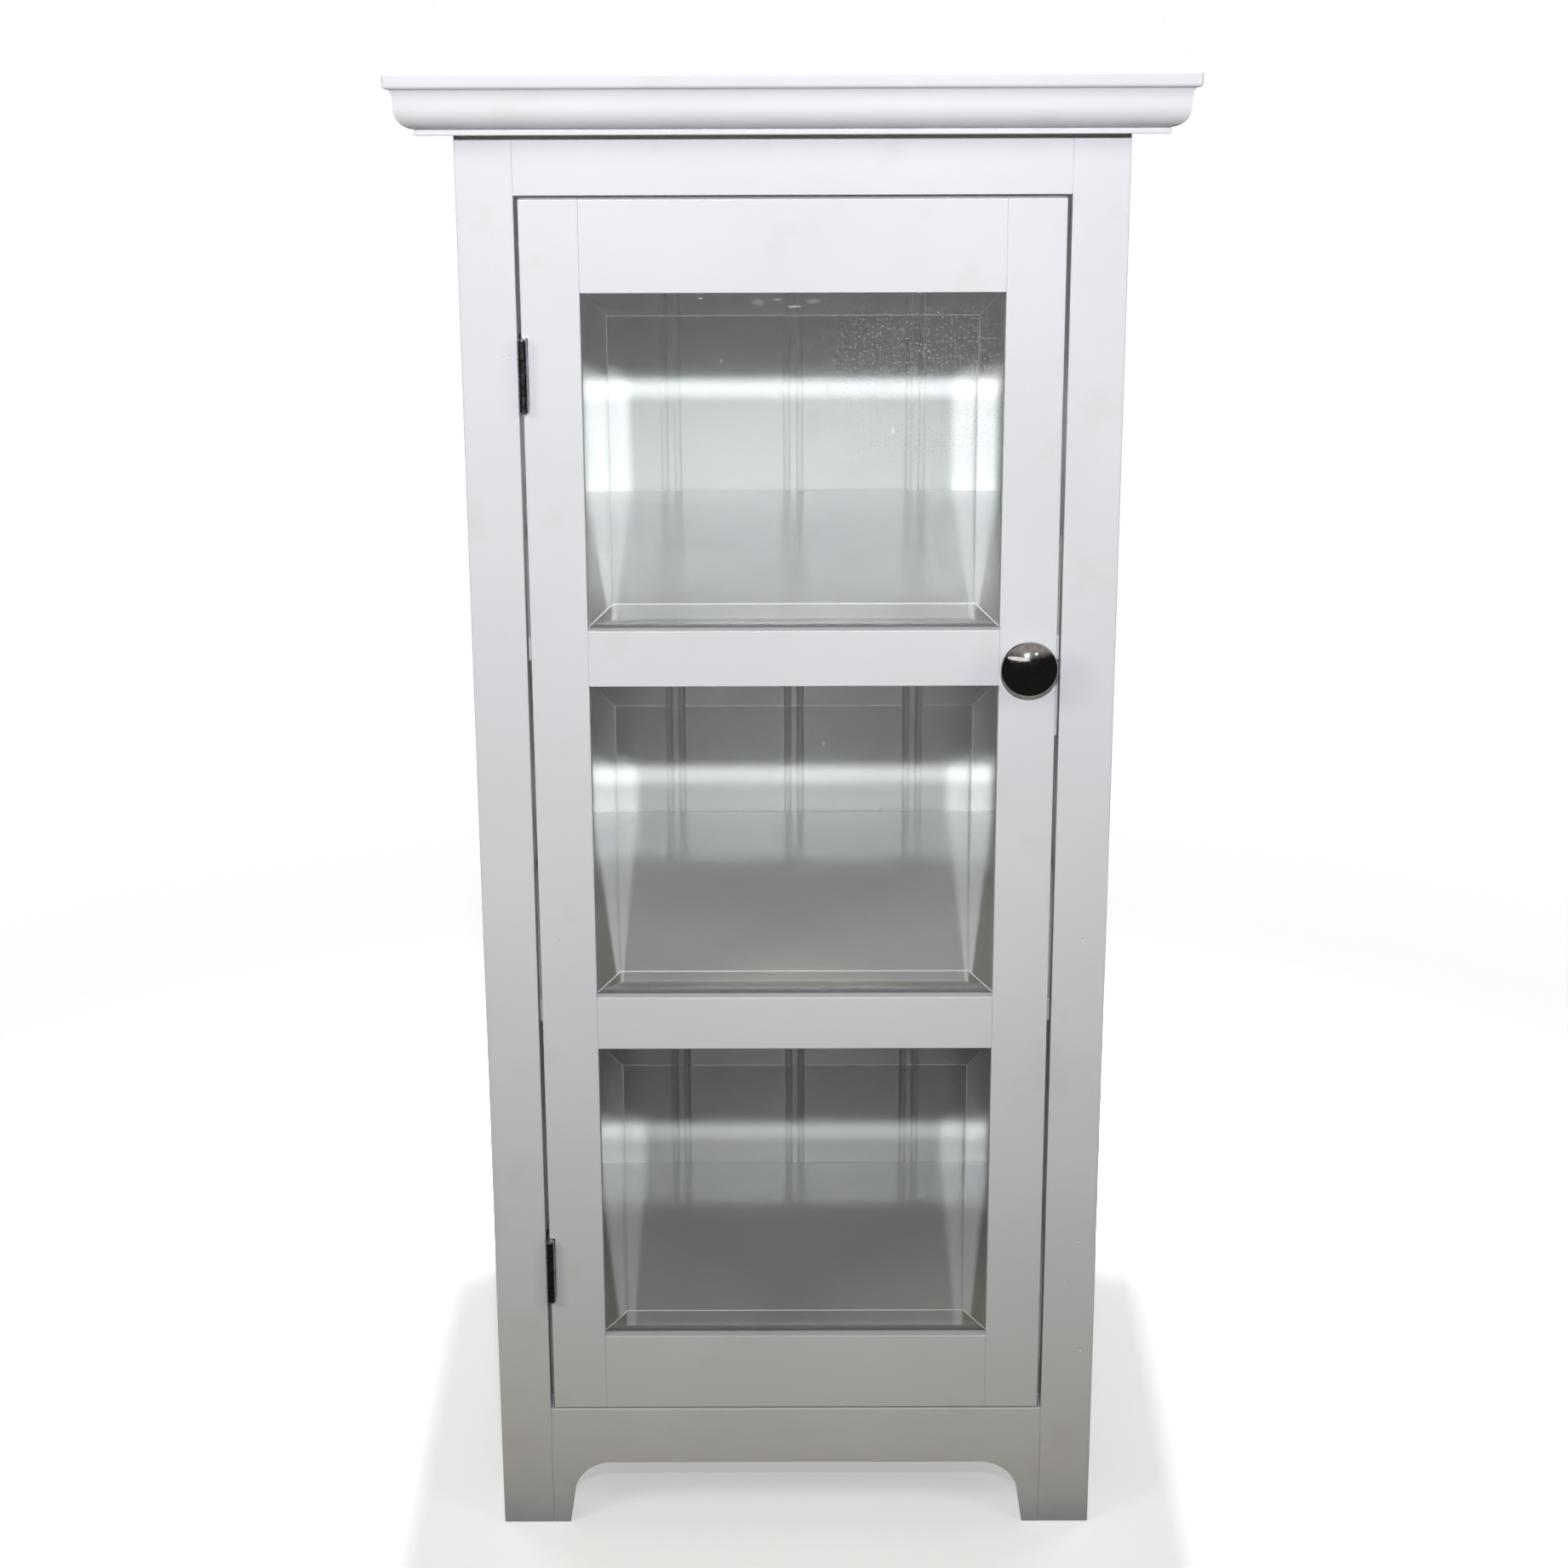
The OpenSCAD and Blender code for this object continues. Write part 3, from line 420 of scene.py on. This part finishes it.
# ---- meshes ----

def to_mesh(bm, name):
    bmesh.ops.recalc_face_normals(bm, faces=bm.faces)
    mesh = bpy.data.meshes.new(name)
    bm.to_mesh(mesh)
    bm.free()
    return mesh


def cuboid(lo, hi):
    bm = bmesh.new()
    matrix = Matrix.Translation((lo + hi) / 2) @ Matrix.Diagonal((*(hi - lo), 1))
    bmesh.ops.create_cube(bm, size=1, matrix=matrix)
    return bm


def prism(outline, place, low, high):
    """Extrudes a 2D outline. place(u, v, w) gives the point at (u, v) on the outline, w along its length."""
    bm = bmesh.new()
    ends = [[bm.verts.new(place(u, v, w)) for u, v in outline] for w in (low, high)]
    for i in range(len(outline)):
        j = (i + 1) % len(outline)
        bm.faces.new((ends[0][i], ends[0][j], ends[1][j], ends[1][i]))
    for end in ends:
        bm.faces.new(end)
    return bm


def lathe(profile, steps, matrix):
    """Turns a profile of (radius, height) about its own Z axis; its first and last points are on the axis."""
    bm = bmesh.new()
    rings = []
    for radius, height in profile[1:-1]:
        ring = [bm.verts.new((radius * math.cos(a), radius * math.sin(a), height))
                for a in (2 * math.pi * i / steps for i in range(steps))]
        rings.append(ring)
    for below, above in zip(rings, rings[1:]):
        for i in range(steps):
            j = (i + 1) % steps
            bm.faces.new((below[i], below[j], above[j], above[i]))
    for (radius, height), ring in ((profile[0], rings[0]), (profile[-1], rings[-1])):
        tip = bm.verts.new((0, 0, height))
        for i in range(steps):
            bm.faces.new((tip, ring[i], ring[(i + 1) % steps]))
    bmesh.ops.transform(bm, matrix=matrix, verts=bm.verts)
    return bm


def arc(centre, radius, start, end, steps):
    """Points on an arc, angles in degrees."""
    angles = [math.radians(start + (end - start) * i / steps) for i in range(steps + 1)]
    return [(centre[0] + radius * math.cos(a), centre[1] + radius * math.sin(a)) for a in angles]


def arch_points(half_w):
    """The arched cut from one foot to the other, half_w from the middle at the floor."""
    inner = half_w - ARCH_SPLAY - ARCH_RADIUS
    spring = ARCH_HEIGHT - ARCH_RADIUS
    left = arc((-inner, spring), ARCH_RADIUS, 180, 90, 14)
    right = arc((inner, spring), ARCH_RADIUS, 90, 0, 14)
    return [(-half_w, 0), *left, *right, (half_w, 0)]


def modified(mesh, *modifiers):
    """The mesh with (type, settings) modifiers applied."""
    carrier = bpy.data.objects.new("carrier", mesh)
    bpy.context.scene.collection.objects.link(carrier)
    for kind, settings in modifiers:
        made = carrier.modifiers.new(kind, kind)
        for name, value in settings.items():
            setattr(made, name, value)
    graph = bpy.context.evaluated_depsgraph_get()
    result = bpy.data.meshes.new_from_object(carrier.evaluated_get(graph), depsgraph=graph)
    bpy.data.objects.remove(carrier)
    return result


def carved(mesh, cutters, material=None):
    """The mesh less each cutter, which is a bmesh. With a material, the faces that they cut take it."""
    tools = []
    for bm in cutters:
        tool = bpy.data.objects.new("cutter", to_mesh(bm, "cutter"))
        if material:
            tool.data.materials.append(material)
        bpy.context.scene.collection.objects.link(tool)
        tools.append(tool)
    steps = [("BOOLEAN", {"operation": "DIFFERENCE", "solver": "EXACT", "object": tool}) for tool in tools]
    bpy.context.view_layer.update()
    result = modified(mesh, *steps)
    for tool in tools:
        bpy.data.objects.remove(tool)
    return result


def softened(mesh, butt=None, width_of=None, width=ARRIS, segments=3):
    """Rounds the mesh's sharp outer edges. Edges in the two end planes of axis butt meet another board, and
    are rounded less. width_of(middle, direction) may give another width for an edge."""
    bm = bmesh.new()
    bm.from_mesh(mesh)
    bmesh.ops.dissolve_limit(bm, angle_limit=FLAT_ANGLE, verts=bm.verts, edges=bm.edges)
    layer = bm.edges.layers.float.new("bevel_weight_edge")
    at = "xyz".index(butt) if butt else 0
    ends = (min(v.co[at] for v in bm.verts), max(v.co[at] for v in bm.verts))
    for edge in bm.edges:
        if len(edge.link_faces) != 2 or edge.calc_face_angle_signed() < ROUNDED_ANGLE:
            continue
        a, b = (v.co for v in edge.verts)
        size = width
        if butt and any(abs(a[at] - end) < SAME_PLACE and abs(b[at] - end) < SAME_PLACE for end in ends):
            size = BUTT_ARRIS
        if width_of:
            size = width_of((a + b) / 2, (b - a).normalized()) or size
        edge[layer] = size / width
    bm.to_mesh(mesh)
    bm.free()
    settings = {"width": width, "segments": segments, "limit_method": "WEIGHT", "profile": 0.5,
                "use_clamp_overlap": False, "material": 1, "harden_normals": False}
    return modified(mesh, ("BEVEL", settings))


def shown(name, mesh, body, materials, replaced):
    """Puts a finished mesh on a body as a piece that stands for a replaced node."""
    mesh.materials.clear()
    for material in materials:
        mesh.materials.append(material)
    obj = bpy.data.objects.new(name, mesh)
    bpy.context.scene.collection.objects.link(obj)
    mesh.polygons.foreach_set("use_smooth", [True] * len(mesh.polygons))
    mesh.set_sharp_from_angle(angle=SMOOTH_ANGLE)
    obj.modifiers.new("normals", "WEIGHTED_NORMAL").keep_sharp = True
    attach(obj, body)
    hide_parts(replaced)
    return obj


def dents(places, face_y):
    """Cutters for small dents in a front face: (x, z, width, height) in millimetres."""
    cutters = []
    for x, z, width, height in places:
        bm = bmesh.new()
        matrix = Matrix.Translation((x * MM, face_y - DENT_PROUD, z * MM))
        matrix = matrix @ Matrix.Diagonal((width / 2 * MM, DENT_DEPTH, height / 2 * MM, 1))
        bmesh.ops.create_icosphere(bm, subdivisions=3, radius=1, matrix=matrix)
        cutters.append(bm)
    return cutters


def painted(node, body, grain, mesh=None, butt=None, width_of=None, chips=(), material=None):
    """A painted board in the place of a CAD node, from its box or from a mesh of the same shape."""
    lo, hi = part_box(node)
    mesh = mesh or to_mesh(cuboid(lo, hi), node)
    mesh = softened(mesh, butt, width_of)
    if chips:
        mesh = carved(mesh, chips, chip_material)
    coats = [material or paints[grain], worn_paints[grain], chip_material]
    shown(node + "_painted", mesh, body, coats, node)


# ---- case ----

face_lo, face_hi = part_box("left_face_stile")
FRONT = face_lo.y
INNER = face_hi.y
side_lo, side_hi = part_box("right_side_panel")
back_lo, back_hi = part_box("beadboard_back")

painted("left_face_stile", "case", "z", chips=dents(LEFT_STILE_DENTS, FRONT))
painted("right_face_stile", "case", "z", chips=dents(RIGHT_STILE_DENTS, FRONT))
painted("top_face_rail", "case", "x", butt="x")

apron_lo, apron_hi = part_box("apron_rail")
outline = [(apron_lo.x, apron_hi.z), (apron_lo.x, 0), *arch_points(apron_hi.x - APRON_FOOT),
           (apron_hi.x, 0), (apron_hi.x, apron_hi.z)]
apron = to_mesh(prism(outline, lambda u, v, w: (u, w, v), apron_lo.y, apron_hi.y), "apron_rail")
painted("apron_rail", "case", "x", apron)


def side_panel(node):
    """A side board with its arch, and the rabbet that the back sits in."""
    lo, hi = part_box(node)
    middle = (INNER + SIDE_FRONT_FOOT + hi.y - SIDE_REAR_FOOT) / 2
    arch = arch_points(hi.y - SIDE_REAR_FOOT - middle)
    outline = [(lo.y, hi.z), (lo.y, 0), *[(u + middle, v) for u, v in arch], (hi.y, 0), (hi.y, hi.z)]
    mesh = to_mesh(prism(outline, lambda u, v, w: (w, u, v), lo.x, hi.x), node)
    inside = side_lo.x
    low = Vector((-inside - BACK_RABBET, back_lo.y, ARCH_HEIGHT))
    high = Vector((inside + BACK_RABBET, hi.y + CUT_PAST, hi.z + CUT_PAST))
    mesh = carved(mesh, [cuboid(low, high)])
    painted(node, "case", "z", mesh)


side_panel("left_side_panel")
side_panel("right_side_panel")
painted("floor_panel", "case", "x", material=inner_paints_lit_shaded["x"])
painted("case_top_panel", "case", "x")
painted("rear_rail", "case", "x")
painted("upper_shelf", "case", "x", material=inner_paints_lit_shaded["x"])
painted("lower_shelf", "case", "x", material=inner_paints_lit_shaded["x"])


def beadboard():
    """The back, with its pairs of round-bottomed grooves."""
    radius = (GROOVE_WIDTH ** 2 / 4 + GROOVE_DEPTH ** 2) / (2 * GROOVE_DEPTH)
    half_angle = math.degrees(math.asin(GROOVE_WIDTH / 2 / radius))
    outline = [(back_lo.x, back_lo.y)]
    for pair in range(GROOVE_PAIRS):
        middle = (pair - (GROOVE_PAIRS - 1) / 2) * GROOVE_PITCH
        for side in (-1, 1):
            x = middle + side * (GROOVE_WIDTH + BEAD_WIDTH) / 2
            centre = (x, back_lo.y - radius + GROOVE_DEPTH)
            outline += arc(centre, radius, 90 + half_angle, 90 - half_angle, 10)
    outline += [(back_hi.x, back_lo.y), (back_hi.x, back_hi.y), (back_lo.x, back_hi.y)]
    mesh = to_mesh(prism(outline, lambda u, v, w: (u, v, w), back_lo.z, back_hi.z), "beadboard")
    shown("beadboard_back_painted", mesh, "case", [inner_paints_lit_shaded["z"]], "beadboard_back")


beadboard()


# ---- moulded top ----

def moulding_section():
    """(distance out from the case, height) round the moulding, from its lower back corner."""
    lo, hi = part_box("cornice_front_moulding")
    height = hi.z - lo.z
    flat_x = MOULDING_FACE - MOULDING_RADIUS
    cove_z = height - COVE_HEIGHT
    sweep = math.degrees(math.asin(COVE_HEIGHT / COVE_RADIUS))
    toe = arc((flat_x, MOULDING_RADIUS), MOULDING_RADIUS, -90, 0, 16)
    cove = arc((MOULDING_FACE + COVE_RADIUS, cove_z), COVE_RADIUS, 180, 180 - sweep, 10)
    return [(MOULDING_BACK, 0), *toe, *cove, (MOULDING_BACK, height)]


def mitred(node, start, end):
    """One run of moulding. start(out) and end(out) give the plan position of each end, out from the case."""
    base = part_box(node)[0].z
    bm = bmesh.new()
    section = moulding_section()
    rings = [[bm.verts.new((*at(out), base + height)) for out, height in section] for at in (start, end)]
    for i in range(len(section)):
        j = (i + 1) % len(section)
        bm.faces.new((rings[0][i], rings[0][j], rings[1][j], rings[1][i]))
    for ring in rings:
        bm.faces.new(ring)
    mesh = to_mesh(bm, node)
    grain = "x" if "front" in node else "y"
    shown(node + "_painted", mesh, "case", [paints[grain]], node)


SIDE = side_hi.x
BACK = side_hi.y
mitred("cornice_front_moulding", lambda a: (-SIDE - a, FRONT - a), lambda a: (SIDE + a, FRONT - a))
mitred("cornice_left_moulding", lambda a: (-SIDE - a, FRONT - a), lambda a: (-SIDE - a, BACK))
mitred("cornice_right_moulding", lambda a: (SIDE + a, FRONT - a), lambda a: (SIDE + a, BACK))
painted("cornice_base_panel", "case", "x")


def top_width(middle, direction):
    """Rounding of the top board: wide below, small above, and nearly none along its rear edge."""
    lo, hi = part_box("top_board")
    if middle.y > hi.y - 1 * MM:
        return BUTT_ARRIS
    if abs(direction.z) > 0.5:
        return BOARD_TOP_RADIUS
    return BOARD_BOTTOM_RADIUS if middle.z < (lo.z + hi.z) / 2 else BOARD_TOP_RADIUS


top_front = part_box("top_board")[0].y
dent_face = top_front + 0.5 * MM    # the dent is on the rounded upper edge
painted("top_board", "case", "x", width_of=top_width, chips=dents(TOP_BOARD_DENT, dent_face))


# ---- door ----

def door_member(node, grain, butt=None, chips=(), mortises=False):
    """A stile or rail of the door, with the pockets for the panes and the beads cut from its back."""
    lo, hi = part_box(node)
    mesh = to_mesh(cuboid(lo, hi), node)
    cutters = []
    grow = Vector((CUT_PAST, 0, CUT_PAST))
    for pane in panes:
        low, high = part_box(pane)
        low = Vector((low.x, FRONT + FRONT_LIP, low.z)) - grow
        high = Vector((high.x, hi.y + CUT_PAST, high.z)) + grow
        if low.z < hi.z and high.z > lo.z:
            cutters.append(cuboid(low, high))
    if mortises:
        for leaf in ("upper_hinge_door_leaf", "lower_hinge_door_leaf"):
            low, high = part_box(leaf)
            low = Vector((lo.x - CUT_PAST, lo.y - CUT_PAST, low.z))
            cutters.append(cuboid(low, Vector((high.x, lo.y + HINGE_LEAF_DEPTH, high.z))))
    mesh = carved(mesh, cutters)
    painted(node, "door", grain, mesh, butt, chips=chips)


door_member("door_left_stile", "z", mortises=True)
door_member("door_right_stile", "z", chips=dents(DOOR_STILE_DENTS, FRONT))
door_member("door_top_rail", "x", butt="x", chips=dents(DOOR_TOP_CHIP, FRONT))
door_member("door_upper_mid_rail", "x", butt="x")
door_member("door_lower_mid_rail", "x", butt="x")
door_member("door_bottom_rail", "x", butt="x")


def islands(node):
    """The box of each separate solid in a CAD node."""
    bm = bmesh.new()
    bm.from_mesh(nodes[node].data)
    bmesh.ops.remove_doubles(bm, verts=bm.verts, dist=WELD)
    left = set(bm.verts)
    boxes = []
    while left:
        group = set()
        reached = [next(iter(left))]
        while reached:
            vert = reached.pop()
            if vert not in group:
                group.add(vert)
                reached += [edge.other_vert(vert) for edge in vert.link_edges]
        left -= group
        points = [v.co for v in group]
        boxes.append((Vector(map(min, *points)), Vector(map(max, *points))))
    bm.free()
    return sorted(boxes, key=lambda box: tuple(box[0]))


def strips(node, body, pick, width):
    """Rebuilds a node of plain boxes, each with rounded edges. pick(size) gives each one's material."""
    whole = bmesh.new()
    materials = []
    for lo, hi in islands(node):
        mesh = softened(to_mesh(cuboid(lo, hi), node), width=width, segments=2)
        material = pick(hi - lo)
        if material not in materials:
            materials.append(material)
        first = len(whole.faces)
        whole.from_mesh(mesh)
        whole.faces.ensure_lookup_table()
        for face in whole.faces[first:]:
            face.material_index = materials.index(material)
    mesh = to_mesh(whole, node)
    shown(node + "_eased", mesh, body, materials, node)


def along_longest(by_axis):
    """Picks the material whose grain runs along a strip's longest side."""
    return lambda size: by_axis["xyz"[max(range(3), key=lambda i: size[i])]]


for node in ("upper_glazing_beads", "middle_glazing_beads", "lower_glazing_beads"):
    strips(node, "door", along_longest(paints), BEAD_ARRIS)
for node in ("foot_blocks", "cornice_back_batten"):
    strips(node, "case", along_longest(raw), ARRIS)


# ---- knob ----

def knob():
    """A turned mushroom knob: foot, neck, flare, rounded rim and dome."""
    lo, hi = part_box("knob")
    reach = hi.y - lo.y
    radius = (hi.x - lo.x) / 2
    foot_r = 9 * MM
    foot_t = 2 * MM
    neck_r = 6.5 * MM
    rim_r = 3 * MM
    dome_h = 7 * MM
    dome_r = (radius ** 2 + dome_h ** 2) / (2 * dome_h)
    meet = math.acos((radius - rim_r) / (dome_r - rim_r))
    rim_z = reach - dome_r + (dome_r - rim_r) * math.sin(meet)
    flare = radius - rim_r - neck_r
    profile = [(0, 0), (foot_r - 0.4 * MM, 0), (foot_r, 0.4 * MM), (foot_r, foot_t - 0.6 * MM)]
    profile += [(foot_r - 0.6 * MM, foot_t), (neck_r + 0.4 * MM, foot_t + 0.1 * MM)]
    profile += arc((neck_r + flare, rim_z - rim_r - flare), flare, 180, 92, 18)
    profile += arc((radius - rim_r, rim_z), rim_r, -90, math.degrees(meet) - 2, 14)
    profile += arc((0, reach - dome_r), dome_r, math.degrees(meet), 90, 40)
    middle = (lo + hi) / 2
    place = Matrix.Translation((middle.x, hi.y, middle.z)) @ Matrix.Rotation(math.radians(90), 4, "X")
    mesh = to_mesh(lathe(profile, 128, place), "knob")
    obj = shown("knob_turned", mesh, "door", [dark_nickel], "knob")
    obj.modifiers.clear()   # its normals are best left smooth


knob()


# ---- CAD pieces that keep their shape ----

def finish_nodes(material, *names):
    """Gives CAD nodes a material, and leaves their shape alone."""
    for name in names:
        obj = nodes[name]
        for place in obj.material_slots:
            place.link = "OBJECT"
            place.material = material


finish_nodes(aged_steel, "upper_hinge_frame_leaf", "lower_hinge_frame_leaf",
             "upper_hinge_door_leaf", "lower_hinge_door_leaf", "hinge_frame_screws", "hinge_door_screws")
finish_nodes(pin_steel, "upper_hinge_pin", "lower_hinge_pin")
finish_nodes(bright_steel, "back_panel_screws", "shelf_pins", "cornice_screws", "catch_screws",
             "catch_pole_plates", "knob_screw", "strike_plate", "strike_screw")
finish_nodes(catch_plastic, "catch_housing")
finish_nodes(ferrite, "catch_magnet")
finish_nodes(raw["x"], "face_frame_dowels", "door_dowels")
finish_nodes(raw["y"], "cornice_battens")
finish_nodes(paints["z"], "catch_block")
for name, material in panes.items():
    finish_nodes(material, name)


# ---- floor, camera and light ----

def stage_floor():
    """A pale floor that fades into the white surroundings."""
    s = Shader("floor", Specular_IOR_Level=0.2, Roughness=0.7, Emission_Strength=0.45)
    s.set(Base_Color=s.mix(s.noise(3, 3), (0.86, 0.86, 0.865), (0.9, 0.9, 0.9)), Emission_Color=(1, 1, 1))
    distance = s.node("VectorMath", {0: s.coords}, operation="LENGTH").outputs["Value"]
    s.surface(s.blend(s.ramp(distance, 0.45, 1.5), s.bsdf, s.node("BsdfTransparent")))
    bm = bmesh.new()
    bmesh.ops.create_circle(bm, cap_ends=True, segments=96, radius=1.6)
    bmesh.ops.translate(bm, vec=(0, 0, -0.2 * MM), verts=bm.verts)
    mesh = to_mesh(bm, "stage_floor")
    mesh.materials.append(s.material)
    obj = bpy.data.objects.new("stage_floor", mesh)
    bpy.context.scene.collection.objects.link(obj)
    obj.visible_diffuse = False
    obj.visible_glossy = False


stage_floor()

# The camera's place and its angles: how far it looks down, to the side, and how far it is tipped
EYE = Vector((-0.0002, -2.4778, 1.4703))
PITCH = math.radians(20.383)
YAW = math.radians(-0.18)
ROLL = math.radians(-0.213)
LENS = 77.02
SENSOR = 36                 # both in millimetres


def photo_camera():
    """The camera at the photo's viewing angle."""
    data = bpy.data.cameras.new("camera")
    data.lens = LENS
    data.sensor_width = SENSOR
    camera = bpy.data.objects.new("camera", data)
    turned = Matrix.Rotation(-YAW, 4, "Z") @ Matrix.Rotation(math.radians(90) - PITCH, 4, "X")
    camera.matrix_world = Matrix.Translation(EYE) @ turned @ Matrix.Rotation(ROLL, 4, "Z")
    bpy.context.scene.collection.objects.link(camera)
    bpy.context.scene.camera = camera


photo_camera()


def placed_light(name, data, at, aim, power, colour):
    """A lamp at a place, turned to shine at another, that the camera doesn't see."""
    data.energy = power
    data.color = colour
    obj = bpy.data.objects.new(name, data)
    obj.location = at
    obj.rotation_euler = (Vector(aim) - Vector(at)).to_track_quat("-Z", "Y").to_euler()
    obj.visible_camera = False
    bpy.context.scene.collection.objects.link(obj)
    return obj


def area_light(name, at, aim, width, height, power, colour=(1, 1, 1), glossy=True, diffuse=True, spread=180,
               shape="RECTANGLE"):
    data = bpy.data.lights.new(name, "AREA")
    data.shape = shape
    data.size = width
    data.size_y = height
    data.spread = math.radians(spread)
    obj = placed_light(name, data, at, aim, power, colour)
    obj.visible_glossy = glossy
    obj.visible_diffuse = diffuse


def spot_light(name, at, aim, angle, radius, power, colour=(1, 1, 1)):
    data = bpy.data.lights.new(name, "SPOT")
    data.spot_size = math.radians(angle)
    data.spot_blend = 1.0
    data.shadow_soft_size = radius
    placed_light(name, data, at, aim, power, colour)


KEY = (0.01, -2.40, 1.74)
KEY_RADIUS = 0.025
SIDE_COLOUR = (1.06, 1.0, 0.84)
# Light from all round: where it starts and where it is full, with 0 level and 1 overhead, and its colour
# below and above
AMBIENT = (-0.1, 0.7, (0, 0, 0), (0.04, 0.043, 0.05))
MIRRORED = (0.2, 0.6, (0.02, 0.02, 0.018), (0.5, 0.49, 0.47))

# Each light: its place, what it shines at, a spot's angle and radius or an area's width and height, its watts
spot_light("key", KEY, (0, -0.2, 1.19), 57, KEY_RADIUS, 160, (0.97, 0.985, 1.06))
spot_light("key_mid", KEY, (0, -0.2, 1.05), 75, KEY_RADIUS, 10)
area_light("mirrored_strip", (-1.0, -2.5, 1.42), (0, -0.2, 0.72), 2.8, 0.42, 5, diffuse=False,
           shape="ELLIPSE")
area_light("ceiling", (-0.3, -2.0, 2.4), (0, -0.2, 0.8), 1.7, 0.8, 4.8, glossy=False)
area_light("lamp", (0.99, -2.25, 1.89), (0, -0.2, 0.8), 0.12, 0.12, 1)
area_light("left", (-1.8, -1.6, 1.8), (0, -0.1, 0.7), 0.8, 0.8, 13, SIDE_COLOUR, glossy=False)
area_light("right", (1.8, -1.6, 1.8), (0, -0.1, 0.7), 0.8, 0.8, 9, SIDE_COLOUR, glossy=False)
area_light("floor_bounce", (0, -0.6, 0.003), (0, -0.6, 1), 1.4, 0.75, 0.55, (1.25, 1.05, 0.7), glossy=False)
area_light("over_top", (0, 0.1, 2.3), (0, 0, 1.1), 0.5, 0.4, 30, glossy=False, spread=50)
area_light("rear_left", (-1.9, 1.9, 1.7), (0, 0.1, 0.6), 1.6, 1.2, 20, glossy=False)
area_light("rear_right", (1.9, 1.9, 1.7), (0, 0.1, 0.6), 1.6, 1.2, 20, glossy=False)


def surroundings():
    """White where the camera looks, past the panes or through them. What lights the object is paler above and
    darker below, and what shiny surfaces mirror is dark up to a bright upper part."""
    world = bpy.data.worlds.new("surroundings")
    bpy.context.scene.world = world
    world.use_nodes = True
    w = Nodes(world.node_tree)
    direction = w.node("TexCoord").outputs["Generated"]
    height = w.node("SeparateXYZ", {0: direction}).outputs["Z"]
    path = w.node("LightPath").outputs

    def by_height(low, high, below, above):
        return w.mix(w.ramp(height, low, high), below, above)

    colour = w.mix(path["Is Glossy Ray"], by_height(*AMBIENT), by_height(*MIRRORED))
    for ray in ("Is Transmission Ray", "Is Camera Ray"):
        colour = w.mix(path[ray], colour, (1, 1, 1))
    w.feed(world.node_tree.nodes["Background"].inputs["Color"], colour)


surroundings()
bpy.context.scene.view_settings.view_transform = "Standard"
